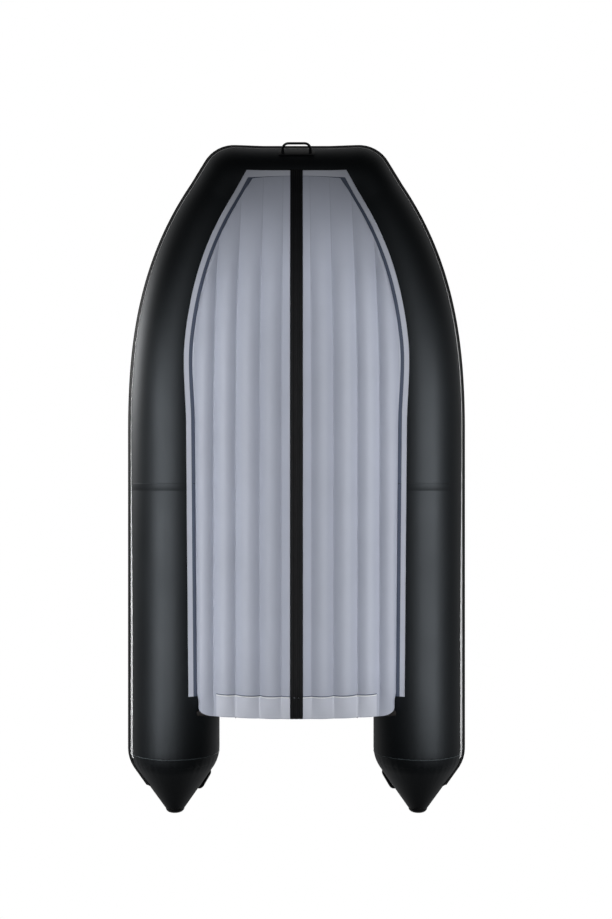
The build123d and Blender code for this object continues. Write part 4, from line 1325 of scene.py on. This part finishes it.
class BOAT_OT_benches(bpy.types.Operator):
    """Two sliding benches: plywood boards on hooked runners over glued rubber rails"""

    bl_idname = "boat.benches"
    bl_label = "Benches"

    def execute(self, context):
        edge = ply_edge("plywood_edge_level", (0, 0, 0), "5B3E28", "94704C")
        for node in ("front_bench", "rear_bench"):
            board = fit(drawn(node + "_board", node, 0.0008), film_face(), "plywood", node,
                        body=node)
            faced(board, Vector((0, 0, 1)), edge)
            fit(drawn(node + "_shoes", node + "_runners", 0.0012), moulded_nylon(), "moulded",
                node + "_runners", body=node)
            self.screws(node)
        for side in ("port", "starboard"):
            fit(drawn(side + "_slide_rail", side + "_rail", 0.0007), strake_rubber(), "strake",
                side + "_rail")
        return {"FINISHED"}

    def screws(self, node):
        """Countersunk screws through the board into each runner."""
        low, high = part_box(node)
        shoe_low, shoe_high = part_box(node + "_runners")
        screws = []
        for side in (-1, 1):
            for x in (shoe_high.x - 0.008, shoe_high.x - 0.038):
                for y in (shoe_low.y + 0.025, shoe_high.y - 0.025):
                    seat = Matrix.Translation((side * x, y, high.z - 0.0006))
                    screws.append(turned("screw", seat, [(0.0048, 0.0), (0.0048, 0.0008),
                                                         (0.0042, 0.0012), (0.0016, 0.0013),
                                                         (0.0012, 0.0004), (0.0002, 0.0004)], 24))
        fit(joined(node + "_screws", screws), steel(), "metal", body=node)


class BOAT_OT_rowlocks(bpy.types.Operator):
    """Rowlock stands welded on the tubes, each with a swivelling oar pin"""

    bl_idname = "boat.rowlocks"
    bl_label = "Rowlocks"

    def execute(self, context):
        fit(drawn("rowlock_stands", "rowlock_bases", 0.001), moulded_nylon(), "moulded",
            "rowlock_bases")
        for side in ("port", "starboard"):
            fit(drawn(side + "_oar_pin", side + "_rowlock", 0.0008), steel(), "metal",
                side + "_rowlock", body=side + "_rowlock")
        return {"FINISHED"}


class BOAT_OT_valves(bpy.types.Operator):
    """Inflation valves: wrapped flange, moulded ring and a notched screw cap"""

    bl_idname = "boat.valves"
    bl_label = "Valves"

    def execute(self, context):
        f = fittings()
        low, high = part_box("air_valves")
        half = f.valve_flange / 2
        turn = f.valve_angle
        pieces = []
        for side, y in ((1, high.y - half), (-1, high.y - half), (1, low.y + half)):
            pieces.append(patch("flange", side, y, turn, f.valve_flange, f.valve_flange, 0.003,
                                2.0))
            pieces += self.cap(seat_on_tube(side, y, turn))
        fit(joined("inflation_valves", pieces), moulded_nylon(), "moulded", "air_valves")
        low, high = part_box("mat_valve")
        seat = Matrix.Translation(((low.x + high.x) / 2, (low.y + high.y) / 2, low.z))
        ring = turned("flange", seat, [(half, 0.0), (half, 0.0022), (half - 0.0008, 0.003),
                                       (0.022, 0.003), (0.022, 0.0)], 96)
        fit(joined("deck_valve", [ring] + self.cap(seat)), moulded_nylon(), "moulded", "mat_valve")
        return {"FINISHED"}

    def cap(self, seat):
        r, h = fittings().valve_cap / 2, fittings().valve_stand
        ring = turned("valve_ring", seat, [(r + 0.004, 0.0), (r + 0.004, 0.0036),
                                           (r + 0.003, 0.0046), (r + 0.0012, 0.0046),
                                           (r + 0.0012, 0.0)], 96)
        cap = turned("valve_cap", seat, [(r, 0.001), (r, h - 0.0022), (r - 0.0006, h - 0.0008),
                                         (r - 0.002, h), (r - 0.0055, h), (r - 0.0065, h - 0.0016),
                                         (0.0004, h - 0.0022)], 96, 40, 16, 0.0009)
        return [ring, cap]


class BOAT_OT_handles(bpy.types.Operator):
    """Carrying handles: one under the bow, one on each side, one inside each cone"""

    bl_idname = "boat.handles"
    bl_label = "Handles"

    def execute(self, context):
        s, f = hull(), fittings()
        turn = f.bow_angle
        out = Vector((0, -math.cos(turn), -math.sin(turn)))
        bow = seat_from(Vector((0, s.bow_axis, s.bow_rise + s.bow_radius)) + out * s.bow_radius,
                        Vector((1, 0, 0)), out)
        fit(handle("bow_loop", bow, f.bow_span, f.bow_stand, 0.0068), moulded_nylon(), "moulded",
            "bow_handle")
        pieces = []
        turn = f.side_angle
        for side in (-1, 1):
            out = Vector((side * math.cos(turn), 0, math.sin(turn)))
            centre = Vector((side * s.half_gauge, f.side_y, s.tube_radius))
            seat = seat_from(centre + out * s.tube_radius, Vector((0, 1, 0)), out)
            pieces.append(loop("loop", seat, f.side_span, f.side_stand))
            pieces.append(patch("pad", side, f.side_y, math.pi - turn, f.side_span + f.grip_pad,
                                f.grip_pad, 0.004, 4.0))
        fit(joined("side_loops", pieces), moulded_nylon(), "moulded", "side_handles")
        pieces = []
        for side in (-1, 1):
            off = Vector((-side * math.cos(f.cone_angle), 0, math.sin(f.cone_angle)))
            ahead = Vector((0, 1, 0))
            draw = s.cone_angle
            seat = seat_from(Vector((side * s.half_gauge, f.cone_y, s.tube_radius))
                             + off * cone_radius(f.cone_y),
                             ahead * math.cos(draw) - off * math.sin(draw),
                             off * math.cos(draw) + ahead * math.sin(draw))
            pieces.append(handle("cone_loop", seat, f.cone_span, f.cone_stand - 0.003, 0.0085,
                                 1.5))
        fit(joined("cone_loops", pieces), moulded_nylon(), "moulded", "cone_handles")
        return {"FINISHED"}


# ---------------------------------------------------------------- stage


class BOAT_OT_stage(bpy.types.Operator):
    """Pale floor, soft lamps and the camera beneath the boat"""

    bl_idname = "boat.stage"
    bl_label = "Stage"

    def execute(self, context):
        context.scene.view_settings.view_transform = "Standard"
        self.floor()
        self.world(context.scene)
        lamps = (
            ("left_bank", (-1.25, 0.03, -3.1), (-0.3, 0.03, 0.2), (2.95, 0.2), 5.1, 21),
            ("right_bank", (1.25, 0.03, -3.1), (0.3, 0.03, 0.2), (2.95, 0.2), 5.0, 21),
            ("left_strip", (-2.65, 0.4, -2.8), (-0.9, 0.4, 0.1), (2.6, 0.2), 3.6, 17),
            ("right_strip", (2.65, 0.4, -2.8), (0.9, 0.4, 0.1), (2.6, 0.2), 3.2, 17),
            ("sky_bank", (0.8, -1.0, 4.5), (0, 0, 0), (4.0, 4.0), 170, 180),
            ("side_bank", (-4.5, -1.5, 2.2), (0, 0, 0.3), (2.0, 3.0), 90, 180),
        )
        for lamp in lamps:
            self.lamp(*lamp)
        bpy.ops.object.camera_add(location=(0, 0.023, -7.0), rotation=(math.pi, 0, 0))
        camera = context.object
        camera.data.lens = 50.37
        camera.data.shift_x = 0.01034
        camera.data.shift_y = 0.02122
        camera.data.clip_end = 100
        context.scene.camera = camera
        return {"FINISHED"}

    def floor(self):
        bpy.ops.object.select_all(action="DESELECT")
        bpy.ops.mesh.primitive_plane_add(size=60)
        plane = bpy.context.object
        plane.name = "floor"
        plane.visible_diffuse = plane.visible_glossy = False
        plane.visible_transmission = plane.visible_shadow = False
        material = bpy.data.materials.new("studio_floor")
        material.use_nodes = True
        tree = material.node_tree
        shader = tree.nodes["Principled BSDF"]
        shader.inputs["Base Color"].default_value = linear("EDEDED")
        shader.inputs["Roughness"].default_value = 0.9
        shader.inputs["Specular IOR Level"].default_value = 0.1
        shader.inputs["Emission Color"].default_value = (1, 1, 1, 1)
        shader.inputs["Emission Strength"].default_value = 0.4
        back = add(tree, "NewGeometry").outputs["Backfacing"]
        clear = add(tree, "BsdfTransparent")
        both = add(tree, "MixShader", {"Fac": back, 1: shader.outputs["BSDF"],
                                       2: clear.outputs["BSDF"]})
        tree.links.new(both.outputs["Shader"], tree.nodes["Material Output"].inputs["Surface"])
        plane.data.materials.append(material)

    def world(self, scene):
        world = bpy.data.worlds.new("studio")
        world.use_nodes = True
        scene.world = world
        tree = world.node_tree
        path = add(tree, "LightPath").outputs
        height = add(tree, "SeparateXYZ", {"Vector": add(tree, "TexCoord").outputs["Generated"]})
        sky = add(tree, "MapRange", {"Value": height.outputs["Z"], "From Min": -0.08,
                                     "From Max": 0.45, "To Min": 0.02, "To Max": 0.35},
                  interpolation_type="SMOOTHSTEP")
        gloss = add(tree, "Math", {0: path["Is Glossy Ray"], 1: path["Is Transmission Ray"]},
                    operation="MAXIMUM")
        lit = add(tree, "Mix", {"Factor": gloss.outputs["Value"], "A": 0.10,
                                "B": sky.outputs["Result"]}, data_type="FLOAT")
        white = add(tree, "Math", {0: path["Is Camera Ray"], 1: lit.outputs["Result"]},
                    operation="MAXIMUM")
        tree.links.new(white.outputs["Value"], tree.nodes["Background"].inputs["Color"])

    def lamp(self, name, place, target, size, power, spread):
        aim = Vector(target) - Vector(place)
        bpy.ops.object.light_add(type="AREA", location=place,
                                 rotation=aim.to_track_quat("-Z", "Y").to_euler())
        lamp = bpy.context.object
        lamp.name = name
        lamp.data.shape = "RECTANGLE"
        lamp.data.size, lamp.data.size_y = size
        lamp.data.energy = power
        lamp.data.spread = math.radians(spread)
        lamp.visible_camera = False


class BOAT_PT_boat(bpy.types.Panel):
    """Sizes and colours, and the pieces in their order"""

    bl_idname = "BOAT_PT_boat"
    bl_label = "Inflatable boat"
    bl_space_type = "VIEW_3D"
    bl_region_type = "UI"
    bl_category = "Boat"

    def draw(self, context):
        for group in (hull(), floor(), fittings(), colours()):
            for name in group.bl_rna.properties.keys():
                if name not in ("rna_type", "name"):
                    self.layout.prop(group, name)
        for operator in operators:
            self.layout.operator(operator.bl_idname)


groups = (HullSizes, BottomSizes, FittingSizes, BoatColours)
operators = (
    BOAT_OT_bow_chamber,
    BOAT_OT_side_chambers,
    BOAT_OT_cone_caps,
    BOAT_OT_rub_strake,
    BOAT_OT_floor_flange,
    BOAT_OT_bottom,
    BOAT_OT_keel_strip,
    BOAT_OT_air_mat,
    BOAT_OT_rear_hem,
    BOAT_OT_transom,
    BOAT_OT_benches,
    BOAT_OT_rowlocks,
    BOAT_OT_valves,
    BOAT_OT_handles,
    BOAT_OT_stage,
)


def register():
    for item in (*groups, *operators, BOAT_PT_boat):
        bpy.utils.register_class(item)
    bpy.types.Scene.boat_hull = bpy.props.PointerProperty(type=HullSizes)
    bpy.types.Scene.boat_bottom = bpy.props.PointerProperty(type=BottomSizes)
    bpy.types.Scene.boat_fittings = bpy.props.PointerProperty(type=FittingSizes)
    bpy.types.Scene.boat_colours = bpy.props.PointerProperty(type=BoatColours)


def unregister():
    for name in ("boat_hull", "boat_bottom", "boat_fittings", "boat_colours"):
        delattr(bpy.types.Scene, name)
    for item in reversed((*groups, *operators, BOAT_PT_boat)):
        bpy.utils.unregister_class(item)


def main():
    register()
    for operator in operators:
        getattr(bpy.ops.boat, operator.bl_idname.split(".")[1])()


if __name__ == "__main__":
    main()
